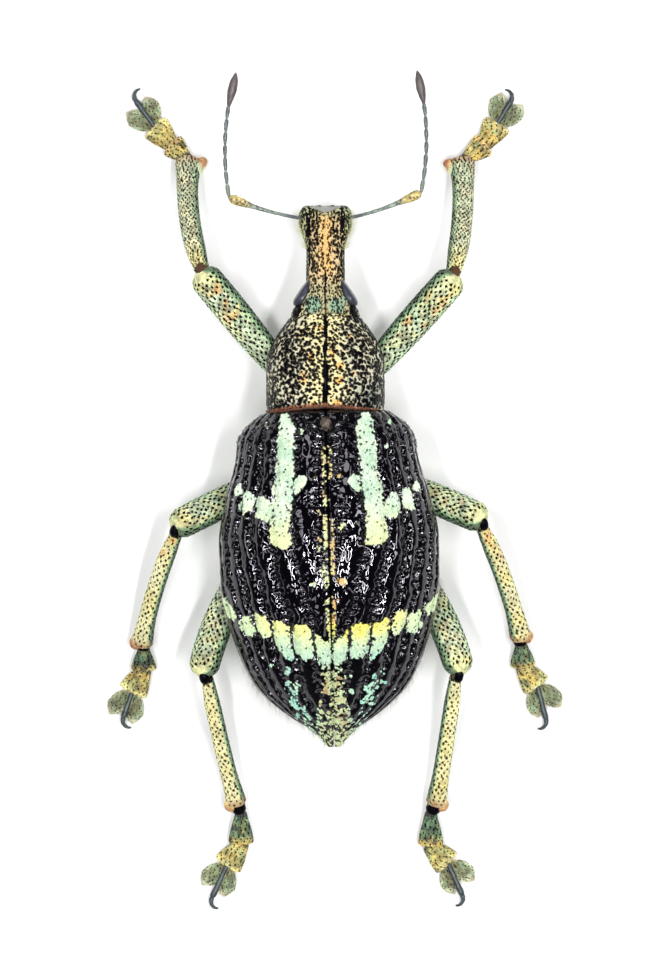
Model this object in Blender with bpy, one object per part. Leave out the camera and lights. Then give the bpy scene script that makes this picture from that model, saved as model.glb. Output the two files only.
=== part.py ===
"""A life-size weevil, Rhinoscapha basilica, standing on its six feet.

Metres, +Z up, head towards +Y, the beetle's right side towards +X. The floor is z = 0.
Inside the script every length is in millimetres, measured from the waist, the joint of
pronotum and wing cases on the body's midline. The last step scales the model to metres.
"""

import math
from dataclasses import dataclass

import bmesh
import bpy
from mathutils import Matrix, Vector

MM = 0.001
BODY_LENGTH = 25.0  # tip of the rostrum to tip of the wing cases
GAP = 0.25  # left between pieces that touch
WAIST_AHEAD_OF_CENTRE = 3.75  # from the middle of the whole outline, legs and antennae included
MIDLINE_LEFT_OF_CENTRE = 0.44
HIND_BODY_TURN = 1.5  # degrees that the wing cases lie askew, tip to the beetle's right

PRONOTUM_LENGTH = 4.2
HEAD_LENGTH = 5.25
HIND_LENGTH = BODY_LENGTH - PRONOTUM_LENGTH - HEAD_LENGTH

WING_CASE_THICKNESS = 0.55
RIDGES_PER_CASE = 9
RIDGE_HEIGHT = 0.12
THORAX_LENGTH = 6.4
VENTRITES = 5
VENTRITE_STEP = 0.12

EYE_HALF = Vector((0.36, 0.70, 0.74))
EYE_PLACE = Vector((0.99, PRONOTUM_LENGTH + 1.18, 4.72))
EYE_TURN = 33.0  # degrees that the eyes' front ends lean in
JAW_HALF = Vector((0.36, 0.42, 0.34))
JAW_PLACE = Vector((0.34, PRONOTUM_LENGTH + HEAD_LENGTH - 0.42, 3.05))

# The antennae, with each place as how far outwards, how far ahead of the waist, and how high
ANTENNA_ROOT = Vector((0.95, PRONOTUM_LENGTH + 4.68, 3.95))
ANTENNAE = {
    "left": (-1, Vector((4.45, 9.82, 4.65)), Vector((4.13, 15.55, 4.65))),
    "right": (1, Vector((4.41, 10.04, 4.65)), Vector((4.24, 15.64, 4.65))),
}
FUNICLE_BEADS = 7
FUNICLE_SHARE = 0.73  # of the length beyond the elbow; the club is the rest
FUNICLE_RADIUS = 0.26
FLAGELLUM_BOW = 0.33  # outwards, at the middle
CLUB_RADIUS = 0.30
SCAPE_RADIUS = 0.30
SCAPE_BOW = 0.12  # backwards, at the middle

COXA_HALF = Vector((0.85, 0.85, 0.75))
KNEE_OVERLAP = 0.30  # how far the shin reaches into the thigh before it is cut clear

LOBE_HALF = Vector((0.43, 0.62, 0.25))
LOBE_REACH = 0.72
LOBE_SPREAD = 33.0  # degrees from the foot's line to each lobe of the third tarsal joint
LOBE_TURN = 15.0  # degrees that a lobe itself points away from that line
FIRST_JOINT_HALF = 0.56
SECOND_JOINT_HALF = 0.65
JOINT_HEIGHTS = (0.80, 0.50, 0.34, 0.42)  # root and ends of the two broad joints, and the claw joint
CLAW_LENGTH = 0.72
CLAW_CURL = 130.0
CLAW_RADIUS = 0.18


@dataclass
class LegPair:
    """What the two legs of one pair share. The thigh bows outwards and sags."""

    femur_radius: float
    femur_bow: float
    femur_sag: float
    tibia_radius: float


@dataclass
class Leg:
    """One leg. Each place is how far outwards, how far ahead of the waist, and how high."""

    side: int
    hip: Vector
    knee: Vector
    ankle: Vector
    foot: tuple  # in plan: the root and the two ends of the broad joints, and the claws' reach
    tibia_bow: float
    pair: LegPair


FORE = LegPair(femur_radius=0.76, femur_bow=0.00, femur_sag=0.25, tibia_radius=0.48)
MID = LegPair(femur_radius=0.72, femur_bow=0.00, femur_sag=0.60, tibia_radius=0.39)
HIND = LegPair(femur_radius=0.72, femur_bow=0.42, femur_sag=0.60, tibia_radius=0.37)

LEGS = {
    "fore_left": Leg(
        side=-1,
        hip=Vector((1.36, 1.01, 2.30)),
        knee=Vector((5.72, 6.32, 4.70)),
        ankle=Vector((6.32, 11.62, 0.95)),
        foot=((6.53, 11.76), (7.13, 12.32), (7.96, 13.19), (9.03, 14.69)),
        tibia_bow=0.34,
        pair=FORE,
    ),
    "fore_right": Leg(
        side=1,
        hip=Vector((1.36, 1.01, 2.30)),
        knee=Vector((5.97, 6.18, 4.70)),
        ankle=Vector((6.30, 11.58, 0.95)),
        foot=((6.67, 11.67), (7.40, 12.36), (8.00, 13.33), (8.80, 14.69)),
        tibia_bow=0.26,
        pair=FORE,
    ),
    "mid_left": Leg(
        side=-1,
        hip=Vector((1.50, -2.58, 2.10)),
        knee=Vector((6.90, -5.35, 4.60)),
        ankle=Vector((8.51, -10.89, 0.95)),
        foot=((8.28, -11.07), (8.42, -12.04), (8.97, -13.10), (9.50, -14.62)),
        tibia_bow=0.20,
        pair=MID,
    ),
    "mid_right": Leg(
        side=1,
        hip=Vector((1.64, -2.58, 2.10)),
        knee=Vector((7.22, -5.03, 4.60)),
        ankle=Vector((9.06, -10.61, 0.95)),
        foot=((9.02, -10.98), (9.16, -11.90), (9.83, -12.82), (10.32, -14.71)),
        tibia_bow=0.20,
        pair=MID,
    ),
    "hind_left": Leg(
        side=-1,
        hip=Vector((2.65, -6.00, 2.05)),
        knee=Vector((5.65, -12.13, 4.45)),
        ankle=Vector((4.08, -18.27, 0.95)),
        foot=((3.67, -18.91), (3.90, -20.11), (4.59, -21.13), (5.44, -22.95)),
        tibia_bow=0.08,
        pair=HIND,
    ),
    "hind_right": Leg(
        side=1,
        hip=Vector((2.98, -6.00, 2.05)),
        knee=Vector((6.19, -12.04, 4.45)),
        ankle=Vector((5.10, -18.27, 0.95)),
        foot=((4.54, -18.91), (4.87, -20.20), (5.70, -21.03), (6.51, -22.83)),
        tibia_bow=0.04,
        pair=HIND,
    ),
}


def smooth(stops):
    """A function through (place, value) stops, with slopes limited so that it never overshoots."""
    places = [place for place, _ in stops]
    values = [value for _, value in stops]
    rises = [(b - a) / (q - p) for p, q, a, b in zip(places, places[1:], values, values[1:])]
    slopes = [rises[0]]
    for before, after in zip(rises, rises[1:]):
        slopes.append(0.0 if before * after <= 0 else 2 * before * after / (before + after))
    slopes.append(rises[-1])

    def value_at(place):
        place = min(max(place, places[0]), places[-1])
        i = next(k for k in range(len(rises)) if place <= places[k + 1])
        span = places[i + 1] - places[i]
        t = (place - places[i]) / span
        return (
            values[i] * (1 + 2 * t) * (1 - t) ** 2
            + slopes[i] * span * t * (1 - t) ** 2
            + values[i + 1] * t * t * (3 - 2 * t)
            + slopes[i + 1] * span * t * t * (t - 1)
        )

    return value_at


# Outlines of the hind body, by distance behind the waist
HIND_HALF_WIDTH = smooth([
    (0.0, 2.80), (0.45, 3.42), (0.8, 3.80), (1.3, 4.10), (2.1, 4.17), (4.2, 4.72), (6.0, 5.05), (7.9, 5.04),
    (9.3, 4.80), (11.3, 4.20), (12.1, 3.88), (12.9, 3.37), (13.8, 2.42), (14.8, 1.02), (15.3, 0.50),
    (15.6, 0.28),
])
HIND_TOP = smooth([
    (0.0, 7.45), (1.5, 8.20), (4.0, 9.05), (6.5, 9.40), (9.0, 9.10), (11.5, 8.00), (13.5, 6.45), (14.8, 5.10),
    (15.6, 4.25),
])
HIND_MARGIN = smooth([(0.0, 4.35), (2.0, 4.05), (7.0, 4.00), (12.0, 3.95), (15.6, 3.75)])
HIND_BELLY = smooth([(0.0, 2.75), (2.0, 1.90), (4.5, 1.60), (8.5, 1.80), (12.0, 2.60), (15.6, 3.60)])

# Outlines of the pronotum, by distance ahead of the waist
PRONOTUM_HALF_WIDTH = smooth([
    (0.0, 2.68), (0.5, 2.73), (2.2, 2.72), (2.9, 2.53), (3.4, 2.26), (3.9, 1.92), (4.2, 1.65),
])
PRONOTUM_TOP = smooth([(0.0, 7.10), (1.2, 7.35), (2.6, 7.10), (4.2, 6.10)])
PRONOTUM_BELLY = smooth([(0.0, 2.45), (1.0, 2.15), (2.6, 2.30), (4.2, 2.90)])

# Outlines of the head and rostrum, by distance ahead of the pronotum
HEAD_HALF_WIDTH = smooth([
    (0.0, 1.60), (0.35, 1.53), (0.65, 1.36), (1.2, 1.08), (1.8, 0.89), (3.1, 0.88), (3.8, 1.04), (4.4, 1.24),
    (4.8, 1.24), (5.25, 1.02),
])
HEAD_TOP = smooth([(0.0, 5.95), (0.8, 5.80), (1.8, 5.40), (3.6, 4.90), (4.8, 4.55), (5.25, 4.30)])
HEAD_BELLY = smooth([(0.0, 3.00), (0.9, 3.02), (1.8, 3.12), (3.6, 2.95), (4.6, 2.60), (5.25, 2.75)])


def clear_scene():
    for obj in list(bpy.data.objects):
        bpy.data.objects.remove(obj, do_unlink=True)


def material(name, colour, roughness, metallic=0.0):
    made = bpy.data.materials.new(name)
    made.use_nodes = True
    shader = made.node_tree.nodes["Principled BSDF"]
    shader.inputs["Base Color"].default_value = (*colour, 1.0)
    shader.inputs["Roughness"].default_value = roughness
    shader.inputs["Metallic"].default_value = metallic
    made.diffuse_color = (*colour, 1.0)
    return made


def put_in_scene(name, mesh_or_curve):
    obj = bpy.data.objects.new(name, mesh_or_curve)
    bpy.context.scene.collection.objects.link(obj)
    return obj


def mesh_object(name, build):
    """An object whose mesh build(bm) fills, with its normals made to point out."""
    bm = bmesh.new()
    build(bm)
    bmesh.ops.recalc_face_normals(bm, faces=bm.faces)
    mesh = bpy.data.meshes.new(name)
    bm.to_mesh(mesh)
    bm.free()
    return put_in_scene(name, mesh)


def as_mesh(obj):
    """The object with its modifiers and curve bevel made into a plain, welded mesh."""
    bpy.context.view_layer.update()
    evaluated = obj.evaluated_get(bpy.context.evaluated_depsgraph_get())
    mesh = bpy.data.meshes.new_from_object(evaluated)
    mesh.transform(obj.matrix_world)
    bm = bmesh.new()
    bm.from_mesh(mesh)
    bmesh.ops.remove_doubles(bm, verts=bm.verts, dist=0.001)
    bm.to_mesh(mesh)
    bm.free()
    name = obj.name
    bpy.data.objects.remove(obj, do_unlink=True)
    return put_in_scene(name, mesh)


def loft(name, rings):
    """A closed body through unlike sections, each a ring of as many points, with flat ends."""

    def build(bm):
        made = [[bm.verts.new(point) for point in ring] for ring in rings]
        for ring, following in zip(made, made[1:]):
            for i in range(len(ring)):
                j = (i + 1) % len(ring)
                bm.faces.new((ring[i], ring[j], following[j], following[i]))
        bm.faces.new(made[0])
        bm.faces.new(made[-1])

    return mesh_object(name, build)


def tube(name, path, radii, resolution=3, grow=0.0):
    """A round limb along path, thick as radii says. grow swells it all over, to cut clearance."""
    curve = bpy.data.curves.new(name, "CURVE")
    curve.dimensions = "3D"
    curve.bevel_depth = 1.0
    curve.bevel_resolution = resolution
    curve.use_fill_caps = True
    points = [Vector(p) for p in path]
    points[0] = points[0] - (points[1] - points[0]).normalized() * grow
    points[-1] = points[-1] + (points[-1] - points[-2]).normalized() * grow
    spline = curve.splines.new("POLY")
    spline.points.add(len(points) - 1)
    for made, point, radius in zip(spline.points, points, radii):
        made.co = (*point, 1.0)
        made.radius = radius + grow
    return as_mesh(put_in_scene(name, curve))


def ellipsoid(name, centre, half, turn=0.0, segments=16, rings=9, grow=0.0):
    bpy.ops.mesh.primitive_uv_sphere_add(segments=segments, ring_count=rings, radius=1.0)
    obj = bpy.context.object
    obj.name = name
    size = Vector(half) + Vector((grow, grow, grow))
    turned = Matrix.Rotation(turn, 4, "Z") @ Matrix.Diagonal((*size, 1.0))
    obj.matrix_world = Matrix.Translation(centre) @ turned
    return as_mesh(obj)


def keep_largest(obj):
    """Drops whatever a union or a cut leaves loose."""
    bm = bmesh.new()
    bm.from_mesh(obj.data)
    unseen = set(bm.verts)
    islands = []
    while unseen:
        found, waiting = set(), [unseen.pop()]
        while waiting:
            vert = waiting.pop()
            found.add(vert)
            near = {edge.other_vert(vert) for edge in vert.link_edges} & unseen
            unseen -= near
            waiting.extend(near)
        islands.append(found)
    largest = max(islands, key=len)
    bmesh.ops.delete(bm, geom=[v for v in bm.verts if v not in largest], context="VERTS")
    bm.to_mesh(obj.data)
    bm.free()
    return obj


def combine(obj, others, operation):
    """obj joined with the others, or cut by them, in one Boolean. The others are then removed."""
    collection = bpy.data.collections.new("tools")
    bpy.context.scene.collection.children.link(collection)
    for other in others:
        collection.objects.link(other)
        bpy.context.scene.collection.objects.unlink(other)
    boolean = obj.modifiers.new(operation.lower(), "BOOLEAN")
    boolean.operation = operation
    boolean.operand_type = "COLLECTION"
    boolean.collection = collection
    boolean.solver = "EXACT"
    made = as_mesh(obj)
    for other in others:
        bpy.data.objects.remove(other, do_unlink=True)
    bpy.data.collections.remove(collection)
    return keep_largest(made)


def union(name, pieces):
    made = combine(pieces[0], pieces[1:], "UNION")
    made.name = name
    return made


def cut(obj, cutters):
    return combine(obj, cutters, "DIFFERENCE")


def stand_on_floor(obj):
    """Cuts off whatever of obj lies under z = 0, which leaves the small flats that it stands on."""
    bm = bmesh.new()
    bm.from_mesh(obj.data)
    everything = list(bm.verts) + list(bm.edges) + list(bm.faces)
    cut_through = bmesh.ops.bisect_plane(
        bm, geom=everything, dist=1e-4, plane_co=(0, 0, 0), plane_no=(0, 0, 1), clear_inner=True
    )
    rims = [item for item in cut_through["geom_cut"] if isinstance(item, bmesh.types.BMEdge)]
    bmesh.ops.contextual_create(bm, geom=rims)
    bmesh.ops.recalc_face_normals(bm, faces=bm.faces)
    bm.to_mesh(obj.data)
    bm.free()
    return obj


def finish(obj, name, finish_material):
    """Names the node, gives it its material, and smooths all but its sharp edges."""
    obj.name = name
    obj.data.materials.clear()
    obj.data.materials.append(finish_material)
    obj.data.shade_smooth()
    obj.data.set_sharp_from_angle(angle=math.radians(40))
    return obj


def signed_power(value, power):
    return math.copysign(abs(value) ** power, value)


def section(half, top, bottom, middle_share, y, count, squareness=2.3):
    """A ring round the body: half wide, from bottom to top, widest at middle_share of its height."""
    middle = bottom + (top - bottom) * middle_share
    ring = []
    for i in range(count):
        angle = 2 * math.pi * (i + 0.5) / count
        rise, reach = math.sin(angle), math.cos(angle)
        height = top - middle if rise > 0 else middle - bottom
        x = half * signed_power(reach, 2 / squareness)
        ring.append(Vector((x, y, middle + height * signed_power(rise, 2 / squareness))))
    return ring


def on_side(side, place):
    return Vector((side * place.x, place.y, place.z))


# Hind body

ARCH_POWER = 0.87
MARGIN_TUCK = math.radians(11)
WIDEST_SHARE = 0.2


def arch_point(distance, angle, inset):
    """A point of the wing cases' arch. angle is 90 degrees at the suture and 0 at the widest point."""
    half = HIND_HALF_WIDTH(distance) - inset
    top = HIND_TOP(distance) - inset
    margin = HIND_MARGIN(distance)
    widest = margin + WIDEST_SHARE * (top - margin)
    if angle >= 0:
        return half * math.cos(angle) ** ARCH_POWER, widest + (top - widest) * math.sin(angle) ** ARCH_POWER
    return half * math.cos(angle), widest - (widest - margin) * math.sin(angle) / math.sin(-MARGIN_TUCK)


def ridge(across, distance):
    """How far a ridge between two rows of pits stands out, from the suture (0) to the margin (1)."""
    place = (across * RIDGES_PER_CASE) % 1.0
    profile = 0.0 if place < 0.17 or place > 0.83 else 1.0
    fade = min(1.0, distance / 1.2, (HIND_LENGTH - distance) / 2.5)
    return RIDGE_HEIGHT * profile * max(0.0, fade)


def wing_case(side):
    """One wing case: a domed shell with raised ridges, flat where it meets the other at the suture."""
    columns = 3 * RIDGES_PER_CASE
    rows = 15
    outer_end, inner_start, inner_end = HIND_LENGTH - 0.02, WING_CASE_THICKNESS, HIND_LENGTH - 1.05

    def spread(t):
        """Rows lie closer where the outline turns, at the shoulder and at the tip."""
        return 0.5 * t + 0.5 * (1 - math.cos(math.pi * t)) / 2

    def sheet(start, end, inset, ridged):
        made = []
        for i in range(rows + 1):
            distance = start + (end - start) * spread(i / rows)
            row = []
            for j in range(columns + 1):
                across = j / columns
                angle = math.pi / 2 - across * (math.pi / 2 + MARGIN_TUCK)
                stand = ridge((j + 0.001) / columns, distance) if ridged else 0.0
                x, z = arch_point(distance, max(angle, -MARGIN_TUCK), inset - stand)
                from_suture = GAP / 2 + x * (1 - GAP / 2 / HIND_HALF_WIDTH(distance))
                row.append(Vector((side * from_suture, -distance, z)))
            made.append(row)
        return made

    def build(bm):
        sheets = [sheet(0.0, outer_end, 0.0, True), sheet(inner_start, inner_end, WING_CASE_THICKNESS, False)]
        outer, inner = [[[bm.verts.new(point) for point in row] for row in made] for made in sheets]
        for grid in (outer, inner):
            for row, following in zip(grid, grid[1:]):
                for j in range(columns):
                    bm.faces.new((row[j], row[j + 1], following[j + 1], following[j]))
        for j in range(columns):
            bm.faces.new((outer[0][j], outer[0][j + 1], inner[0][j + 1], inner[0][j]))
            bm.faces.new((outer[-1][j], outer[-1][j + 1], inner[-1][j + 1], inner[-1][j]))
        for i in range(rows):
            bm.faces.new((outer[i][0], outer[i + 1][0], inner[i + 1][0], inner[i][0]))
            bm.faces.new((outer[i][-1], outer[i + 1][-1], inner[i + 1][-1], inner[i][-1]))

    return mesh_object("wing_case", build)


def under_body(name, start, end, rows, grow=0.0, stepped=False):
    """The body under the wing cases, from start to end behind the waist, clear of them by the gap."""
    half_count = 8
    inset = WING_CASE_THICKNESS + GAP - grow
    rings = []
    for i in range(rows + 1):
        distance = start - grow + (end - start + 2 * grow) * i / rows
        step = VENTRITE_STEP if stepped and i % 2 else 0.0
        belly = HIND_BELLY(distance) - grow + step
        top_points = []
        for j in range(half_count):
            angle = math.pi / 2 * (1 - (j + 0.5) / half_count)
            top_points.append(arch_point(distance, angle, inset))
        half = HIND_HALF_WIDTH(distance) - inset - step
        widest = arch_point(distance, 0.0, inset)[1]
        low_points = []
        for j in range(half_count):
            angle = math.pi / 2 * (j + 0.5) / half_count
            z = widest - (widest - belly) * math.sin(angle) ** 0.9
            low_points.append((half * math.cos(angle) ** 0.8, z))
        outline = top_points + low_points
        right = [Vector((x, -distance, z)) for x, z in outline]
        left = [Vector((-x, -distance, z)) for x, z in reversed(outline)]
        rings.append(right + left)
    return loft(name, rings)


def thorax(grow=0.0):
    """Middle and hind thorax: the waist's collar in front, and the belly that carries four legs."""
    trunk = under_body("thorax", WING_CASE_THICKNESS + GAP, THORAX_LENGTH, 4, grow)
    collar = loft("collar", [
        section(2.25 + grow, 6.35 + grow, 2.85 - grow, 0.5, -GAP + grow, 24),
        section(2.10 + grow, 6.25 + grow, 2.75 - grow, 0.5, -1.6, 24),
    ])
    return union("thorax", [trunk, collar])


def abdomen(grow=0.0):
    return under_body("abdomen", THORAX_LENGTH + GAP, HIND_LENGTH - 1.6, 2 * VENTRITES, grow, stepped=True)


SCUTELLUM_PLACE = Vector((0.0, -0.62, 7.35))
SCUTELLUM_HALF = Vector((0.36, 0.42, 0.45))


def scutellum(grow=0.0):
    return ellipsoid("scutellum", SCUTELLUM_PLACE, SCUTELLUM_HALF, segments=12, rings=7, grow=grow)


def turn_hind_body(obj):
    """The wing cases and what they cover lie a little askew on the waist, as in the specimen."""
    obj.data.transform(Matrix.Rotation(math.radians(HIND_BODY_TURN), 4, "Z"))
    return obj


# Pronotum and head


def pronotum(grow=0.0):
    rows, count = 8, 24
    rings = []
    for i in range(rows + 1):
        distance = PRONOTUM_LENGTH * i / rows
        end = (grow if i == rows else 0.0) - (grow if i == 0 else 0.0)
        half = PRONOTUM_HALF_WIDTH(distance) + grow
        top, belly = PRONOTUM_TOP(distance) + grow, PRONOTUM_BELLY(distance) - grow
        rings.append(section(half, top, belly, 0.48, distance + end, count))
    return loft("pronotum", rings)


def head_trunk(grow=0.0):
    """Head capsule and rostrum, which slopes down and swells where the antennae are let in."""
    rows, count = 14, 16
    rings = []
    for i in range(rows + 1):
        distance = GAP + (HEAD_LENGTH - GAP) * i / rows
        end = grow if i == rows else 0.0
        half = HEAD_HALF_WIDTH(distance) + grow
        top, belly = HEAD_TOP(distance) + grow, HEAD_BELLY(distance) - grow
        rings.append(section(half, top, belly, 0.5, PRONOTUM_LENGTH + distance + end, count, 2.8))
    return loft("head", rings)


def jaw(side):
    """One mandible: a short blunt pincer under the rostrum's front edge."""
    return ellipsoid("jaw", on_side(side, JAW_PLACE), JAW_HALF, segments=10, rings=6)


def eye(side, grow=0.0):
    turn = side * math.radians(EYE_TURN)
    return ellipsoid("eye", on_side(side, EYE_PLACE), EYE_HALF, turn, segments=14, rings=8, grow=grow)


def head():
    whole = union("head", [head_trunk(), jaw(-1), jaw(1)])
    return cut(whole, [eye(-1, GAP), eye(1, GAP)])


# Antennae


def scape(side, elbow, grow=0.0):
    """First joint of the antenna, slender at the root and clubbed at its end."""
    root, end = on_side(side, ANTENNA_ROOT), on_side(side, elbow)
    swell = smooth([(0.0, 0.80), (0.6, 0.80), (0.75, 0.90), (0.9, 1.0), (1.0, 0.75)])
    steps = 8
    path = bowed(root, end, Vector((0.0, -SCAPE_BOW, 0.0)), steps)
    return tube("scape", path, [SCAPE_RADIUS * swell(i / steps) for i in range(steps + 1)], 1, grow)


def flagellum(side, elbow, tip):
    """Seven beads and the spindle-shaped club, turned forward from the scape's end."""
    start, end = on_side(side, elbow), on_side(side, tip)
    bow = Vector((side * FLAGELLUM_BOW, 0.0, 0.0))
    places, radii = [], []
    for i in range(FUNICLE_BEADS):
        for share, swell in ((0.0, 0.85), (0.4, 1.0), (0.8, 1.0)):
            places.append(FUNICLE_SHARE * (i + share) / FUNICLE_BEADS)
            radii.append(FUNICLE_RADIUS * swell)
    for share, swell in ((0.0, 0.75), (0.35, 1.0), (0.65, 1.0), (0.88, 0.60), (1.0, 0.2)):
        places.append(FUNICLE_SHARE + (1 - FUNICLE_SHARE) * share)
        radii.append(CLUB_RADIUS * swell)
    path = [start.lerp(end, place) + bow * 4 * place * (1 - place) for place in places]
    return tube("flagellum", path, radii, 1)


# Legs


def bowed(start, end, bow, steps):
    """Points from start to end that bulge by bow at the middle."""
    points = []
    for i in range(steps + 1):
        t = i / steps
        points.append(start.lerp(end, t) + bow * 4 * t * (1 - t))
    return points


def away_from_body(side, start, end):
    """The level direction square to start-end that points away from the body."""
    along = end - start
    square = Vector((along.y, -along.x, 0.0)).normalized()
    return square if square.x * side > 0 else -square


def femur_rod(leg, grow=0.0):
    """The thigh: slender at the hip, thickest past its middle, blunt at the knee."""
    hip, knee = on_side(leg.side, leg.hip), on_side(leg.side, leg.knee)
    bow = away_from_body(leg.side, hip, knee) * leg.pair.femur_bow - Vector((0, 0, leg.pair.femur_sag))
    swell = smooth([(0.0, 0.62), (0.15, 0.72), (0.45, 0.93), (0.75, 1.0), (0.92, 0.92), (1.0, 0.58)])
    steps = 10
    radii = [leg.pair.femur_radius * swell(i / steps) for i in range(steps + 1)]
    return tube("femur", bowed(hip, knee, bow, steps), radii, 3, grow)


def femur(leg):
    """Thigh with the rounded coxa at its root."""
    place = on_side(leg.side, leg.hip) - Vector((0, 0, 0.1))
    coxa = ellipsoid("coxa", place, COXA_HALF, segments=12, rings=8)
    return union("femur", [femur_rod(leg), coxa])


def tibia_rod(leg, grow=0.0):
    """The shin: a narrow neck at the knee, a little curved, flared at the ankle."""
    hip, knee, ankle = (on_side(leg.side, place) for place in (leg.hip, leg.knee, leg.ankle))
    start = knee - (knee - hip).normalized() * KNEE_OVERLAP
    bow = away_from_body(leg.side, knee, ankle) * leg.tibia_bow
    swell = smooth([(0.0, 0.72), (0.12, 0.80), (0.3, 0.96), (0.75, 1.0), (0.9, 1.16), (1.0, 1.30)])
    steps = 9
    radii = [leg.pair.tibia_radius * swell(i / steps) for i in range(steps + 1)]
    return tube("tibia", bowed(start, ankle, bow, steps), radii, 2, grow)


def tibia(leg, spurred):
    """Shin, on a fore leg with the tooth at the inner corner of its end."""
    if not spurred:
        return tibia_rod(leg)
    knee, ankle = on_side(leg.side, leg.knee), on_side(leg.side, leg.ankle)
    down = (ankle - knee).normalized()
    inwards = -away_from_body(leg.side, knee, ankle)
    path = [ankle - down * 0.45, ankle - down * 0.25 + inwards * 0.55, ankle - down * 0.05 + inwards * 0.92]
    return union("tibia", [tibia_rod(leg), tube("spur", path, [0.36, 0.26, 0.10], 1)])


def flat_joint(name, start, end, root_half, end_half, root_height, end_height):
    """A tarsal joint: flat, narrow at its root, widest at its end."""
    ahead = (end - start).normalized()
    across = ahead.cross(Vector((0, 0, 1))).normalized()
    up = across.cross(ahead)
    count = 10
    rings = []
    sections = (
        (0.0, root_half, root_height),
        (0.82, end_half, end_height),
        (1.0, end_half * 0.92, end_height * 0.85),
    )
    for share, half, height in sections:
        centre = start.lerp(end, share)
        ring = []
        for i in range(count):
            angle = 2 * math.pi * (i + 0.5) / count
            ring.append(centre + across * half * math.cos(angle) + up * height * math.sin(angle))
        rings.append(ring)
    return loft(name, rings)


def tarsus(leg):
    """The foot: two flat joints, the two-lobed third, the claw joint and its pair of claws."""
    places = [Vector((leg.side * out, ahead, height)) for (out, ahead), height in zip(leg.foot, JOINT_HEIGHTS)]
    root, first, second, reach = places
    ankle = on_side(leg.side, leg.ankle)
    pieces = [
        flat_joint("first", root.lerp(ankle, 0.6), first, 0.28, FIRST_JOINT_HALF, 0.24, 0.34),
        flat_joint("second", first.lerp(second, -0.12), second, 0.36, SECOND_JOINT_HALF, 0.28, 0.30),
    ]
    lifted = Vector((second.x, second.y, reach.z))
    way = (reach - lifted).normalized()
    middle = ((second - first).normalized() + way).normalized()
    heading = math.atan2(-middle.x, middle.y)
    for hand in (-1, 1):
        centre = second + Matrix.Rotation(hand * math.radians(LOBE_SPREAD), 3, "Z") @ middle * LOBE_REACH
        centre.z = LOBE_HALF.z - 0.03
        turn = heading + hand * math.radians(LOBE_TURN)
        pieces.append(ellipsoid("lobe", centre, LOBE_HALF, turn, segments=10, rings=7))
    claw_root = reach - way * 0.36
    path = bowed(lifted - way * 0.3, claw_root, Vector((0, 0, 0.10)), 4)
    pieces.append(tube("claw_joint", path, [0.24, 0.24, 0.25, 0.26, 0.24], 1))
    for lower in (False, True):
        pieces.append(claw(leg, claw_root - way * 0.1, way, lower))
    return stand_on_floor(union("tarsus", pieces))


def claw(leg, root, way, lower):
    """One claw, curling towards the body's midline. The lower claw curls less."""
    steps = 5
    curl = math.radians(CLAW_CURL) * (0.75 if lower else 1.0)
    turning = leg.side if way.y > 0 else -leg.side
    place = root + Vector((0, 0, -0.14 if lower else 0.05))
    path, radii = [place.copy()], [CLAW_RADIUS]
    for i in range(1, steps + 1):
        turn = turning * curl * ((i - 0.5) / steps) ** 1.3
        place = place + Matrix.Rotation(turn, 3, "Z") @ way * (CLAW_LENGTH / steps)
        path.append(place.copy())
        radii.append(CLAW_RADIUS * (1 - 0.72 * i / steps))
    return tube("claw", path, radii, 1)


def build():
    clear_scene()
    black = material("black cuticle", (0.012, 0.012, 0.014), 0.25)
    mottled = material("mottled gold scales", (0.30, 0.28, 0.14), 0.6)
    green = material("green scales", (0.30, 0.42, 0.22), 0.6)
    cream = material("cream scales", (0.52, 0.50, 0.26), 0.6)
    slate = material("slate claw and antenna", (0.10, 0.14, 0.13), 0.45)
    glass = material("eye", (0.05, 0.05, 0.07), 0.15)

    nodes = []
    for side, word in ((-1, "left"), (1, "right")):
        case = cut(wing_case(side), [scutellum(GAP)])
        nodes.append(turn_hind_body(finish(case, f"elytron_{word}", black)))
    nodes.append(turn_hind_body(finish(abdomen(), "abdomen", green)))
    nodes.append(turn_hind_body(finish(cut(thorax(), [scutellum(GAP)]), "thorax", green)))
    nodes.append(turn_hind_body(finish(scutellum(), "scutellum", black)))
    nodes.append(finish(pronotum(), "pronotum", mottled))
    nodes.append(finish(head(), "head", mottled))
    for side, word in ((-1, "left"), (1, "right")):
        nodes.append(finish(eye(side), f"eye_{word}", glass))

    for word, (side, elbow, tip) in ANTENNAE.items():
        nodes.append(finish(cut(scape(side, elbow), [head_trunk(GAP)]), f"scape_{word}", slate))
        beyond_elbow = cut(flagellum(side, elbow, tip), [scape(side, elbow, GAP)])
        nodes.append(finish(beyond_elbow, f"flagellum_{word}", slate))

    for word, leg in LEGS.items():
        if word.startswith("fore"):
            body = [pronotum(GAP)]
        else:
            body = [turn_hind_body(thorax(GAP)), turn_hind_body(abdomen(GAP))]
        nodes.append(finish(cut(femur(leg), body), f"femur_{word}", green))
        shin = tibia(leg, word.startswith("fore"))
        nodes.append(finish(cut(shin, [femur_rod(leg, GAP)]), f"tibia_{word}", cream))
        nodes.append(finish(cut(tarsus(leg), [tibia_rod(leg, GAP)]), f"tarsus_{word}", cream))

    place = Matrix.Translation((-MIDLINE_LEFT_OF_CENTRE, WAIST_AHEAD_OF_CENTRE, 0.0))
    weevil = bpy.data.collections.new("weevil")
    bpy.context.scene.collection.children.link(weevil)
    for node in nodes:
        node.data.transform(Matrix.Scale(MM, 4) @ place)
        weevil.objects.link(node)
        bpy.context.scene.collection.objects.unlink(node)


build()
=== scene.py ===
"""A life-size weevil, Rhinoscapha basilica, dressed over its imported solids.

Lengths in the sections are millimetres from the waist, the joint of pronotum and wing cases on the
midline: x to the beetle's right, y towards its head, z up from the floor.
"""

import math

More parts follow.
